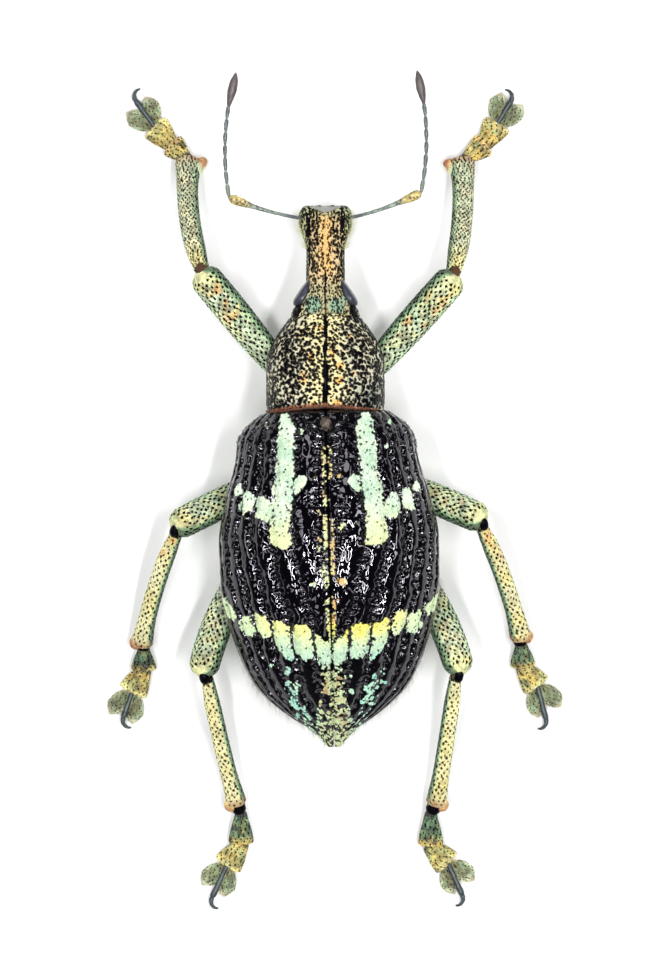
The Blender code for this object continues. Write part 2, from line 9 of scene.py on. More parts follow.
import bpy
import numpy as np
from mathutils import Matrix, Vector


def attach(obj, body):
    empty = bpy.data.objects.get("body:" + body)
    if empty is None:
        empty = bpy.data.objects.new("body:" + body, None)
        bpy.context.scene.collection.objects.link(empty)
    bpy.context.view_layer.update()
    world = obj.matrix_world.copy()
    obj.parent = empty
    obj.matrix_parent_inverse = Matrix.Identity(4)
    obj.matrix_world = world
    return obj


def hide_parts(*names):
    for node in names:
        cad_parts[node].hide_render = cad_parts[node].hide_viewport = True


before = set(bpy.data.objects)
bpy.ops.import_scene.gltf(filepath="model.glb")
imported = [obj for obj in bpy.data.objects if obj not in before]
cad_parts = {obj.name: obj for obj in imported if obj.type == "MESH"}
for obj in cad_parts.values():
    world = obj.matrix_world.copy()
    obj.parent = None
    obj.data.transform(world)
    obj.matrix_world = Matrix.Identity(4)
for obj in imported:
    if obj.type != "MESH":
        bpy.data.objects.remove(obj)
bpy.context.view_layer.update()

# The studio. The specimen stands on white card under large soft boxes, the brightest up to the
# right, so that faint shadows fall to the left. A long lens looks straight down on it.

MM = 0.001
PICTURE_CENTRE = Vector((-0.461, 0.415, 5.0)) * MM
PICTURE_HEIGHT = 44.5 * MM
CAMERA_HEIGHT = 1.0
FLOOR_SIZE = 3.0
CARD_WHITE = 0.70
HORIZON_LIGHT = 0.14
ZENITH_LIGHT = 0.01
SOFT_BOXES = {
    "key": ((0.36, 0.08, 0.40), (0.15, 0.15), 1.00),
    "left": ((-0.36, 0.10, 0.40), (0.18, 0.18), 0.70),
    "front": ((-0.06, 0.38, 0.38), (0.16, 0.16), 0.55),
    "rear": ((0.08, -0.38, 0.38), (0.16, 0.16), 0.30),
    "rear_right": ((0.27, -0.27, 0.40), (0.12, 0.12), 0.20),
    "rear_left": ((-0.25, -0.27, 0.38), (0.12, 0.12), 0.25),
    "front_right": ((0.25, 0.28, 0.40), (0.12, 0.12), 0.30),
    "strip": ((0.10, -0.03, 0.55), (0.26, 0.026), 2.45),
    "second_strip": ((-0.10, -0.03, 0.55), (0.26, 0.026), 2.15),
}


class ShaderMaths:
    """A socket of a material. Sums on it add Math nodes, and node() adds any other node."""

    def __init__(self, tree, socket=None):
        self.tree = tree
        self.socket = socket

    def node(self, kind, inputs, output=0, **settings):
        made = self.tree.nodes.new(kind)
        for name, value in settings.items():
            setattr(made, name, value)
        for name, value in inputs.items():
            if isinstance(value, ShaderMaths):
                self.tree.links.new(value.socket, made.inputs[name])
            else:
                made.inputs[name].default_value = value
        return ShaderMaths(self.tree, made.outputs[output])

    def maths(self, operation, *terms):
        return self.node("ShaderNodeMath", dict(enumerate(terms)), operation=operation)

    def mix(self, share, first, second, how="MIX"):
        sockets = {0: share, 6: first, 7: second}
        return self.node("ShaderNodeMix", sockets, 2, data_type="RGBA", blend_type=how)

    def noise(self, scale, detail=2.0):
        place = self.node("ShaderNodeTexCoord", {}, "Object")
        return self.node("ShaderNodeTexNoise", {"Vector": place, "Scale": scale, "Detail": detail}, "Fac")

    def pigment(self, output="Color"):
        return self.node("ShaderNodeAttribute", {}, output, attribute_name="pigment")

    def bump(self, height, reach, strength):
        return self.node("ShaderNodeBump", {"Height": height, "Distance": reach * MM, "Strength": strength})

    def __add__(self, other):
        return self.maths("ADD", self, other)

    def __rsub__(self, other):
        return self.maths("SUBTRACT", other, self)

    def __mul__(self, other):
        return self.maths("MULTIPLY", self, other)

    __radd__ = __add__
    __rmul__ = __mul__


bpy.ops.object.select_all(action="DESELECT")
bpy.ops.object.camera_add(location=PICTURE_CENTRE + Vector((0, 0, CAMERA_HEIGHT)))
camera = bpy.context.object
camera.data.sensor_fit = "VERTICAL"
camera.data.sensor_height = 36
camera.data.lens = camera.data.sensor_height * CAMERA_HEIGHT / PICTURE_HEIGHT
bpy.context.scene.camera = camera

for name, (place, size, watts) in SOFT_BOXES.items():
    bpy.ops.object.light_add(type="AREA", location=place)
    box = bpy.context.object
    box.name = name
    box.rotation_euler = (-Vector(place)).to_track_quat("-Z", "Y").to_euler()
    box.data.shape = "RECTANGLE"
    box.data.size, box.data.size_y = size
    box.data.energy = watts

sky = bpy.data.worlds.new("sky")
sky.use_nodes = True
make = ShaderMaths(sky.node_tree)
way = make.node("ShaderNodeTexCoord", {}, "Generated")
rise = make.node("ShaderNodeSeparateXYZ", {"Vector": way}, "Z")
low = 1 - rise
light = low * low * low * HORIZON_LIGHT + ZENITH_LIGHT
sky.node_tree.links.new(light.socket, sky.node_tree.nodes["Background"].inputs["Strength"])
sky.node_tree.nodes["Background"].inputs["Color"].default_value = (1, 1, 1, 1)
bpy.context.scene.world = sky
bpy.context.scene.view_settings.view_transform = "Standard"


def finish(name, **fixed):
    """A new material: the wrapper that adds its nodes, its shader's sockets, and the material."""
    made = bpy.data.materials.new(name)
    made.use_nodes = True
    shader = made.node_tree.nodes["Principled BSDF"]
    for socket, value in fixed.items():
        shader.inputs[socket.replace("_", " ")].default_value = value
    return ShaderMaths(made.node_tree), shader, made


def wire(shader, **sockets):
    for socket, value in sockets.items():
        value.tree.links.new(value.socket, shader.inputs[socket.replace("_", " ")])


def card():
    make, shader, made = finish("white card", Roughness=0.9)
    paper, fibre = ((white, white, white, 1) for white in (CARD_WHITE, CARD_WHITE * 0.985))
    wire(shader, Base_Color=make.mix(make.noise(900.0), paper, fibre))
    return made


bpy.ops.mesh.primitive_plane_add(size=FLOOR_SIZE)
floor = bpy.context.object
floor.name = "floor"
floor.data.materials.append(card())

# The wing cases. Two hard black shells, domed and closed along the suture, each with rows of deep
# pits between wrinkled ridges. They hide the wings and most of the abdomen, and lie a little askew.

WAIST = np.array((-0.44, 3.75, 0.0))
HIND_BODY_TURN = math.radians(1.5)
HIND_LENGTH = 15.55
CASE_INSET = 0.03
CASE_THICKNESS = 0.42
SUTURE_GAP = 0.03
ARCH_POWER = 0.87
MARGIN_TUCK = math.radians(11)
WIDEST_SHARE = 0.2
LANE = 0.127
RIDGE_HEIGHT = 0.13
PIT_PITCH = 0.40
PIT_DEPTH = 0.20
WRINKLE_HEIGHT = 0.06
CASE_MESH = (232, 344)
CASE_FOLD = (0, 0.90, 0.915, 0.985, 1)
BLACK = np.array((0.0012, 0.0010, 0.0018))
# How bright the skin under scales is, as a share of their own colour
BED_SHADE = 0.55


def smooth(*stops):
    """A function through (place, value) stops that bends evenly and never overshoots."""
    places, values = (np.array(row, float) for row in zip(*stops))
    rises = np.diff(values) / np.diff(places)
    same_way = rises[:-1] * rises[1:] > 0
    middle = 2 * rises[:-1] * rises[1:] / np.where(same_way, rises[:-1] + rises[1:], 1)
    slopes = np.concatenate((rises[:1], np.where(same_way, middle, 0), rises[-1:]))

    def value_at(place):
        place = np.clip(place, places[0], places[-1])
        i = np.clip(np.searchsorted(places, place) - 1, 0, len(rises) - 1)
        span = places[i + 1] - places[i]
        t = (place - places[i]) / span
        return (
            values[i] * (1 + 2 * t) * (1 - t) ** 2
            + slopes[i] * span * t * (1 - t) ** 2
            + values[i + 1] * t * t * (3 - 2 * t)
            + slopes[i + 1] * span * t * t * (t - 1)
        )

    return value_at


def ease(low, high, value):
    """From 0 at low to 1 at high, eased at both ends."""
    t = np.clip((value - low) / (high - low), 0, 1)
    return t * t * (3 - 2 * t)


def chance(*keys):
    """One fixed draw from 0 to 1 for each set of whole numbers."""
    mixed = np.zeros(np.broadcast(*keys).shape, np.int64)
    for key in keys:
        mixed = ((mixed ^ np.asarray(key, np.int64)) * 2654435761 + 40503) & 0xFFFFFFFF
        mixed = ((mixed ^ (mixed >> 15)) * 2246822519) & 0xFFFFFFFF
        mixed = mixed ^ (mixed >> 13)
    return (mixed & 0xFFFFFF) / 0xFFFFFF


def drift(points, size, seed):
    """Soft lumps from -1 to 1, about size across, the same at a place each time."""
    scaled = points / size
    base = np.floor(scaled).astype(np.int64)
    t = scaled - base
    t = t * t * (3 - 2 * t)
    total = 0
    for corner in range(8):
        step = np.array((corner & 1, corner >> 1 & 1, corner >> 2))
        weight = np.prod(np.where(step, t, 1 - t), axis=1)
        total = total + weight * chance(*(base + step).T, seed)
    return 2 * total - 1


def cells(points, size, seed):
    """How far the nearest seed of a jittered field lies, and how much farther the next one is."""
    scaled = points / size
    base = np.floor(scaled).astype(np.int64)
    nearest = np.full(len(points), 9.0)
    second = nearest.copy()
    for corner in range(27):
        cell = base + np.array((corner % 3, corner // 3 % 3, corner // 9)) - 1
        seeds = cell + np.stack([chance(*cell.T, seed + k) for k in range(3)], axis=1)
        distance = np.linalg.norm(seeds - scaled, axis=1)
        second = np.minimum(second, np.maximum(nearest, distance))
        nearest = np.minimum(nearest, distance)
    return nearest * size, (second - nearest) * size


def paint(red, green, blue):
    """A colour as seen on a screen, from 0 to 255, as the light that it sends back."""
    seen = np.array((red, green, blue)) / 255
    return np.where(seen <= 0.04045, seen / 12.92, ((seen + 0.055) / 1.055) ** 2.4)


def blend(first, second, share):
    share = np.clip(share, 0, 1)[:, None]
    return first * (1 - share) + second * share


def painted(colour, *layers):
    """A colour with others laid over it in turn, each by its own share."""
    for other, share in layers:
        colour = blend(colour, other, share)
    return colour


def in_world(points):
    return (points + WAIST) * MM


def askew(points):
    """Turns the hind body's points about the waist, as it lies in the specimen."""
    c, s = math.cos(HIND_BODY_TURN), math.sin(HIND_BODY_TURN)
    x, y, z = points.T
    return np.stack((c * x - s * y, s * x + c * y, z), axis=1)


class Surface:
    """A surface of the body. place gives a point for each u and v, heart one inside it for each v."""

    def __init__(self, place, heart):
        self.place = place
        self.heart = heart

    def ahead(self, u, v):
        """The level direction of rising v."""
        way = self.place(u, v + 1e-3) - self.place(u, v - 1e-3)
        return way / np.maximum(np.linalg.norm(way, axis=1, keepdims=True), 1e-9)

    def outward(self, u, v):
        aside = self.place(u + 1e-3, v) - self.place(u - 1e-3, v)
        square = np.cross(aside, self.ahead(u, v))
        square /= np.maximum(np.linalg.norm(square, axis=1, keepdims=True), 1e-12)
        out = np.sum(square * (self.place(u, v) - self.heart(v)), axis=1, keepdims=True)
        return square * np.sign(out)


def put_pigment(mesh, colours, cover):
    """Each corner's own colour, with how far scales cover it as the fourth value."""
    layer = mesh.color_attributes.new("pigment", "FLOAT_COLOR", "POINT")
    layer.data.foreach_set("color", np.column_stack((colours, cover)).astype(np.float32).ravel())


def skin(name, columns, rows, shape):
    """A grid of faces bent to what shape(u, v) says, closed and turned outwards."""
    bpy.ops.object.select_all(action="DESELECT")
    bpy.ops.mesh.primitive_grid_add(x_subdivisions=columns, y_subdivisions=rows, size=1)
    piece = bpy.context.object
    piece.name = piece.data.name = name
    flat = np.empty(len(piece.data.vertices) * 3, np.float32)
    piece.data.vertices.foreach_get("co", flat)
    u, v, _ = flat.reshape(-1, 3).astype(float).T + 0.5
    points, colours, cover = shape(np.clip(u, 0, 1), np.clip(v, 0, 1))
    piece.data.vertices.foreach_set("co", in_world(points).astype(np.float32).ravel())
    put_pigment(piece.data, colours, cover)
    bpy.ops.object.mode_set(mode="EDIT")
    bpy.ops.mesh.select_all(action="SELECT")
    bpy.ops.mesh.remove_doubles(threshold=0.001 * MM)
    bpy.ops.mesh.fill_holes(sides=0)
    bpy.ops.mesh.select_all(action="SELECT")
    bpy.ops.mesh.normals_make_consistent(inside=False)
    bpy.ops.object.mode_set(mode="OBJECT")
    bpy.ops.object.shade_smooth()
    return piece


# Outlines of the hind body, by how far behind the waist
HIND_HALF_WIDTH = smooth(
    (0.0, 2.80), (0.45, 3.42), (0.8, 3.80), (1.3, 4.10), (2.1, 4.17), (4.2, 4.72), (6.0, 5.05),
    (7.9, 5.04), (9.3, 4.80), (11.3, 4.20), (12.1, 3.88), (12.9, 3.37), (13.8, 2.42), (14.8, 1.02),
    (15.3, 0.50), (15.6, 0.28),
)
HIND_TOP = smooth(
    (0.0, 7.45), (1.5, 8.20), (4.0, 9.05), (6.5, 9.40), (9.0, 9.10), (11.5, 8.00), (13.5, 6.45),
    (14.8, 5.10), (15.6, 4.25),
)
HIND_MARGIN = smooth((0.0, 4.35), (2.0, 4.05), (7.0, 4.00), (12.0, 3.95), (15.6, 3.75))
FIRST_ROW = smooth((0.0, 0.19), (0.35, 0.12), (1.0, 0.045), (5.0, 0.045), (10.0, -0.045), (15.6, -0.045))


def arch(across, behind, inset):
    """Outwards and up for places across the wing cases, from the suture (0) to the margin (1)."""
    angle = math.pi / 2 - across * (math.pi / 2 + MARGIN_TUCK)
    half = HIND_HALF_WIDTH(behind) - inset
    top = HIND_TOP(behind) - inset
    margin = HIND_MARGIN(behind)
    widest = margin + WIDEST_SHARE * (top - margin)
    rise = np.clip(np.sin(angle), 0, 1) ** ARCH_POWER
    tucked = np.sin(-angle) / math.sin(MARGIN_TUCK)
    reach = np.where(angle >= 0, np.clip(np.cos(angle), 0, 1) ** ARCH_POWER, np.cos(angle))
    up = np.where(angle >= 0, widest + (top - widest) * rise, widest - (widest - margin) * tucked)
    return half * reach, up


def case_surface(side, depth=0.0):
    def place(across, v):
        behind = np.clip(v, 0, 1) * HIND_LENGTH
        inset = CASE_INSET + np.minimum(depth, 0.45 * HIND_HALF_WIDTH(behind))
        out, up = arch(np.clip(across, 0, 1), behind, inset)
        out = SUTURE_GAP / 2 + out * (1 - SUTURE_GAP / 2 / HIND_HALF_WIDTH(behind))
        return askew(np.stack((side * out, -behind, up), axis=1))

    def heart(v):
        behind = np.clip(v, 0, 1) * HIND_LENGTH
        return askew(np.stack((0 * behind, -behind, HIND_MARGIN(behind) + 0.1), axis=1))

    return Surface(place, heart)


MINT = paint(188, 217, 189)
MINT_LIGHT = paint(220, 233, 211)
LIME = paint(223, 231, 174)
YELLOW = paint(240, 226, 96)
LEAF = paint(222, 236, 178)
TEAL = paint(140, 206, 190)
GOLD = paint(226, 184, 110)

# Each patch of scales by rows of pits from and to, counted from the suture, then how far behind the
# waist its front and rear edge lie, at the inner and the outer row
PATCHES = (
    (1.04, 2.02, 0.15, 0.15, 6.35, 6.25),
    (0.36, 0.97, 3.00, 2.95, 3.45, 4.00),
    (2.02, 2.98, 4.10, 3.72, 5.20, 4.72),
    (3.06, 4.10, 3.72, 3.72, 4.66, 4.60),
    (4.18, 4.92, 3.34, 3.38, 3.86, 3.82),
    (0.36, 0.98, 10.85, 10.02, 11.80, 11.52),
    (1.00, 1.96, 9.90, 9.78, 11.48, 11.28),
    (1.98, 3.00, 9.90, 9.52, 11.78, 10.80),
    (3.04, 3.98, 9.45, 9.14, 10.46, 10.14),
    (4.04, 5.22, 9.38, 9.36, 10.38, 10.24),
    (5.26, 7.10, 8.90, 8.36, 9.62, 9.30),
)
# Single spots of scales: which side, how far out, how far behind the waist, how wide
SPOTS = (
    (-1, 2.78, 11.70, 0.20), (-1, 2.07, 11.95, 0.28), (-1, 2.01, 12.46, 0.20), (-1, 1.93, 12.90, 0.20),
    (-1, 1.76, 13.30, 0.20), (1, 0.81, 12.25, 0.20), (1, 0.62, 12.30, 0.16), (1, 1.94, 12.30, 0.20),
    (1, 2.34, 12.15, 0.20), (1, 2.23, 12.60, 0.18), (1, 2.42, 12.57, 0.16), (1, 1.78, 13.04, 0.28),
    (1, 0.84, 13.00, 0.24), (1, 0.65, 5.35, 0.30), (1, 0.61, 7.92, 0.30), (-1, 0.77, 8.00, 0.26),
    (-1, 0.55, 3.02, 0.16), (1, 0.52, 2.98, 0.16), (-1, 0.72, 4.00, 0.16), (-1, 1.10, 0.95, 0.16),
    (1, 2.75, 1.65, 0.20), (-1, 2.75, 0.62, 0.14), (1, 2.95, 0.60, 0.14), (1, 2.55, 5.30, 0.22),
)


def case_lane(across, behind):
    """Where a place lies among the rows of pits: 1 on the first row, 1.5 on the second ridge."""
    return (across - FIRST_ROW(behind)) / LANE


def case_marks(side, across, v, points):
    """How far scales cover each place of a wing case, from 0 to 1, and their colour."""
    behind = v * HIND_LENGTH
    straight = case_lane(across, behind)
    lane = straight + 0.08 * drift(points, 0.10, 21) + 0.06 * drift(points, 0.3, 22)
    along = behind + 0.12 * drift(points, 0.10, 23) + 0.10 * drift(points, 0.3, 24)
    out = arch(across, behind, 0.0)[0]
    cover = np.zeros(len(across))
    for inner, outer, front_in, front_out, rear_in, rear_out in PATCHES:
        share = np.clip((lane - inner) / (outer - inner), 0, 1)
        front = front_in + (front_out - front_in) * share
        rear = rear_in + (rear_out - rear_in) * share
        rounding = 0.26 * np.abs(2 * share - 1) ** 3
        inside = (lane > inner) & (lane < outer) & (along > front + rounding) & (along < rear - rounding)
        cover = np.maximum(cover, inside)
    for spot_side, spot_out, spot_behind, width in SPOTS:
        if spot_side == side:
            cover = np.maximum(cover, np.hypot(out - spot_out, along - spot_behind) < width / 2)
    from_row = np.abs(straight - np.round(straight) + 0.05 * drift(points, 0.2, 25))
    cover = cover * ~((from_row < 0.068) & ((behind > 7.5) | (straight > 2.5)))
    grain = chance(*np.floor(points / 0.09).astype(np.int64).T, 31)
    suture = (out < 0.22) & (out > 0.05) & (behind > 1.6) & (behind < 12.4)
    thick = 0.22 + (0.16 + 0.08 * side) * ease(4.0, 6.0, behind)
    thick = thick + 0.62 * drift(points * (1, 0.6, 1), 0.28, 32)
    cover = np.maximum(cover, suture & (grain < thick))
    beside = (out > 0.22) & (out < 0.62) & (behind > 4.5) & (behind < 9.0)
    cover = np.maximum(cover, beside & (grain < -0.1 + 0.5 * drift(points, 0.3, 38)))
    flecks = drift(points * (1, 0.75, 1), 0.12, 33) + 0.5 * (grain - 0.5)
    tip = 0.46 * ease(11.5, 12.2, behind) * ease(0.62, 0.30, out - 0.42 * ease(12.8, 14.6, behind))
    from_side_row = np.abs(out - 1.96 + 0.33 * (behind - 12.46))
    side_row = 0.22 * ease(12.2, 12.8, behind) * ease(0.62, 0.12, from_side_row)
    tip = np.maximum(np.maximum(tip, side_row), 0.50 * ease(14.4, 15.2, behind))
    cover = np.maximum(cover, (flecks > 0.48 - 0.92 * tip) & (tip > 0.1))
    rim = (across > 0.93) & (behind < 14.5) & (grain < 0.4)
    cover = np.maximum(cover, rim)
    near, _ = cells(points, 0.24, 40)
    cover = cover * np.clip((near - 0.035 - 0.045 * ease(0.22, 0.06, from_row)) / 0.04, 0, 1)

    band_share = np.clip((behind - 9.3 - 0.35 * ease(3.0, 1.0, straight)) / 1.9, 0, 1)
    band_share = band_share + 0.12 * drift(points, 0.25, 39)
    low_edge = ease(0.85, 1.1, band_share + 0.1 * ease(3.0, 4.5, straight)) * ease(0.9, 1.6, straight)
    near_middle = 0.10 + (0.65 + 0.2 * side) * ease(4.6, 2.0, straight)
    tip_spots = ease(11.5, 12.2, behind) * ease(0.7, 1.1, out)
    band = painted(
        LEAF,
        (MINT, ease(0.40, 0.90, band_share) + 0.6 * ease(3.2, 4.4, straight)),
        (TEAL, 0.6 * low_edge),
        (YELLOW, ease(0.60, 0.20, band_share) * near_middle),
        (TEAL, tip_spots * (0.35 + 0.8 * drift(points, 0.25, 36))),
    )
    warm = blend(LIME, GOLD, 0.45 + 0.5 * side * ease(5.0, 8.0, behind) + 0.6 * drift(points, 0.3, 37))
    dusky = blend(GOLD * 0.5, LEAF * 0.75, 0.7 + drift(points, 0.3, 41))
    colour = painted(
        MINT,
        (MINT_LIGHT, 0.5 + 0.9 * drift(points, 0.5, 34)),
        (LIME, ease(4.0, 6.0, behind) * (behind < 8) + 0.35 * drift(points, 0.4, 35)),
        (band, ease(8.2, 9.0, behind)),
        (warm, ((out < 0.65) & (behind < 9.8)) * 1.0),
        (dusky, ease(11.5, 12.3, behind) * ease(0.9, 0.5, out)),
        (LEAF * 0.7, ease(13.8, 14.8, behind) * 0.6),
    )
    return cover, colour * (0.86 + 0.28 * grain)[:, None]


def case_relief(across, v, points, cover):
    """How far the shell stands out at each place: ridges between the rows, wrinkles and pits."""
    behind = v * HIND_LENGTH
    lane = case_lane(across, behind) + 0.13 * drift(points, 0.5, 1) + 0.04 * drift(points, 0.14, 7)
    row = np.round(lane)
    aside = lane - row
    count = behind / PIT_PITCH + chance(row.astype(np.int64), 2) + 0.30 * drift(points, 0.35, 8)
    number = np.floor(count).astype(np.int64)
    draw = [chance(number, row.astype(np.int64), 3 + k) for k in range(3)]
    along = (count - number - 0.5 - 0.35 * (draw[0] - 0.5)) * PIT_PITCH
    aside_pit = aside - 0.16 * (draw[2] - 0.5)
    flank = ease(0.40, 0.62, across)
    pit = (along / (0.14 + 0.02 * flank)) ** 2 + (aside_pit / (0.18 + 0.05 * flank)) ** 2
    pit = (0.45 + 0.7 * draw[1]) * np.exp(-pit ** 1.4)
    round_ridge = 0.5 - 0.5 * np.cos(math.tau * aside)
    flat_ridge = ease(0.05, 0.20, np.abs(aside) + 0.08 * drift(points, 0.17, 9))
    ridge = round_ridge * (1 - flank) + flat_ridge * flank
    front, rear = ease(0.8, 3.0, behind), ease(11.2, 12.3, behind)
    fold = drift(points * (1, 0.5, 1), 0.30, 4)
    crease = drift(points * (1, 0.8, 1), 0.18, 5)
    wrinkle = WRINKLE_HEIGHT * (0.5 - fold ** 2) + 0.35 * WRINKLE_HEIGHT * (0.5 - crease ** 2)
    lined = ease(1.15, 1.45, lane) * ease(4.0, 5.5, behind)
    wrinkle = wrinkle * (1 - 0.4 * flank) * (1 - 0.8 * rear) * (1 - 0.45 * lined)
    crumb = 0.05 * ease(0.09, 0.03, cells(points, 0.23, 45)[0]) * (1 - 0.8 * front)
    ends = ease(0.0, 0.5, behind) * ease(HIND_LENGTH, HIND_LENGTH - 1.6, behind)
    bare = 1 - 0.8 * cover
    low_ridge = (0.12 + 0.88 * front) * (1 - 0.65 * rear) * (1 - 0.45 * ease(1.3, 0.7, lane))
    height = RIDGE_HEIGHT * (1 + 0.1 * flank) * (ridge - 0.6) * low_ridge
    height = height + wrinkle * (1 - 0.5 * cover)
    height = height + crumb * bare - PIT_DEPTH * (0.6 + 0.7 * flank) * pit * bare
    small_pit, _ = cells(points, 0.24, 40)
    height = height - 0.03 * ease(0.085, 0.04, small_pit) * cover
    out = arch(across, behind, 0.0)[0]
    height = height * (0.35 + 0.65 * ends) * ease(0.0, 0.25, out)
    rounded = 0.09 * ease(0.10, 0.0, out) + 0.10 * ease(0.965, 1.0, across) + 0.08 * ease(0.12, 0.0, behind)
    shield = 0.16 * ease(0.50, 0.25, np.hypot(out, behind - 0.66))
    return height - rounded - shield


def wing_case(side, word):
    surface, lining = case_surface(side), case_surface(side, CASE_THICKNESS)

    def shape(u, v):
        across = np.interp(u, CASE_FOLD, (0, 1, 1, 0, 0))
        inner = np.interp(u, CASE_FOLD, (0, 0, 1, 1, 0))
        points = surface.place(across, v)
        cover, colour = case_marks(side, across, v, points)
        relief = case_relief(across, v, points, cover)
        raised = points + surface.outward(across, v) * relief[:, None]
        cover = cover * (inner == 0)
        colours = blend(BLACK, colour * BED_SHADE, cover)
        return raised * (1 - inner[:, None]) + lining.place(across, v) * inner[:, None], colours, cover

    return skin(f"wing_case_{word}", *CASE_MESH, shape)


def black_cuticle(name, shine, dullness):
    """Hard black shell, its finest grain in the nodes, dull where scales cover it."""
    make, shader, made = finish(name, IOR=shine, Specular_Tint=(0.94, 0.91, 1.0, 1))
    rough = dullness + 0.06 * make.noise(1400.0) + 0.35 * make.pigment("Alpha")
    bump = make.bump(make.noise(5000.0, 1.0), 0.01, 0.3)
    wire(shader, Base_Color=make.pigment(), Roughness=rough, Normal=bump)
    return made


cuticle = black_cuticle("black cuticle", 1.46, 0.03)
satin_cuticle = black_cuticle("satin cuticle", 1.12, 0.22)
for side, word in ((-1, "left"), (1, "right")):
    piece = wing_case(side, word)
    piece.data.materials.append(cuticle)
    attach(piece, "root")
    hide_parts(f"elytron_{word}")

# The scales on the wing cases. Small domed plates of chitin, each rooted in the shell and lying
# back over the next, packed close in the bands and strewn thinly on the suture and the tip.

SCALE_SHAPE = np.array(
    ((-1, 0, -0.2), (-0.2, -1, 0), (0.9, -0.68, 0.4), (0.9, 0.68, 0.4), (-0.2, 1, 0), (0.1, 0, 1.2))
)
SCALE_FACES = np.array(
    [(k, (k + 1) % 5, 5) for k in range(5)] + [(0, 4, 3), (0, 3, 2), (0, 2, 1)]
)
SCALE_HALF = np.array((0.056, 0.047, 0.016))
SCALE_LEAN = 0.35
CASE_SCALE_SPACING = 0.075
BRISTLE_SHAPE = np.array(((-1, 0, 0), (-1, 1, 0), (-1, 0, 1), (1, 0, 0.2)))
BRISTLE_FACES = np.array(((0, 2, 1), (0, 1, 3), (1, 2, 3), (2, 0, 3)))
MARGIN_HAIR = paint(120, 118, 112)
MARGIN_HAIR_HALF = (0.18, 0.008, 0.008)
MARGIN_HAIRS = 520
BAKE_PATCH = 0.0015
WHOLE_BAKE = (0.02, 0.02, 0.96, 0.96)


def arc(points):
    """How far along a line of points each of them lies."""
    return np.concatenate(((0,), np.cumsum(np.linalg.norm(np.diff(points, axis=0), axis=1))))


def roots(surface, spacing, seed):
    """Where scales grow: a jittered lattice of u and v, evenly dense over the surface."""
    ticks = np.linspace(0, 1, 161)
    lines = np.mean([arc(surface.place(0 * ticks + u, ticks)) for u in (0.1, 0.35, 0.5, 0.65, 0.9)], axis=0)
    rows = max(2, int(lines[-1] / (spacing * 0.87)))
    all_u, all_v = [], []
    for row in range(rows):
        v = np.interp((row + 0.5) / rows * lines[-1], lines, ticks)
        line = arc(surface.place(ticks, 0 * ticks + v))
        count = int(line[-1] / spacing)
        if count < 1:
            continue
        places = (np.arange(count) + 0.5 * (row % 2) + 0.25) / count * line[-1]
        places = places + (chance(np.arange(count), row, seed) - 0.5) * spacing * 0.5
        all_u.append(np.interp(places, line, ticks))
        all_v.append(v + (chance(np.arange(count), row, seed + 1) - 0.5) * 0.4 / rows)
    return np.concatenate(all_u), np.clip(np.concatenate(all_v), 0, 1)


def strewn(name, shape, faces, at, outward, ahead, half, colours, bake):
    """Copies of one small closed shape, each at its own place and size, joined in one mesh."""
    aside = np.cross(outward, ahead)
    parts = shape[None] * half[:, None]
    ways = enumerate((ahead, aside, outward))
    corners = at[:, None] + sum(parts[:, :, k:k + 1] * way[:, None] for k, way in ways)
    number = np.arange(len(at))[:, None, None] * len(shape) + faces[None]
    mesh = bpy.data.meshes.new(name)
    mesh.vertices.add(corners.shape[0] * corners.shape[1])
    mesh.vertices.foreach_set("co", in_world(corners.reshape(-1, 3)).astype(np.float32).ravel())
    mesh.loops.add(number.size)
    mesh.loops.foreach_set("vertex_index", number.ravel().astype(np.int32))
    mesh.polygons.add(number.size // 3)
    mesh.polygons.foreach_set("loop_start", np.arange(0, number.size, 3, dtype=np.int32))
    mesh.update(calc_edges=True)
    put_pigment(mesh, np.repeat(colours, len(shape), axis=0), np.ones(len(at) * len(shape)))
    uv = np.clip((bake[:, None] + shape[None, :, :2] * BAKE_PATCH).reshape(-1, 2), 0, 1)
    layer = mesh.uv_layers.new(name="OFBake")
    layer.data.foreach_set("uv", uv[number.ravel()].astype(np.float32).ravel())
    mesh.shade_smooth()
    piece = bpy.data.objects.new(name, mesh)
    bpy.context.scene.collection.objects.link(piece)
    return piece


def turned_about(axis, way, angle):
    """Each way turned about its axis by its own angle."""
    c, s = np.cos(angle)[:, None], np.sin(angle)[:, None]
    return way * c + np.cross(axis, way) * s


def scaly():
    """Scales: pale and pearly, each with its own tint, a little glossy."""
    make, shader, made = finish("scales", IOR=1.5, Sheen_Weight=0.15)
    ribs = make.noise(40000.0)
    tint = make.mix(ribs, make.pigment(), (0.86, 0.9, 0.86, 1), "MULTIPLY")
    wire(shader, Base_Color=tint, Roughness=0.38 + 0.2 * ribs, Normal=make.bump(ribs, 0.006, 0.4))
    return made


def gathered(rows):
    return [np.concatenate(column) for column in zip(*rows)]


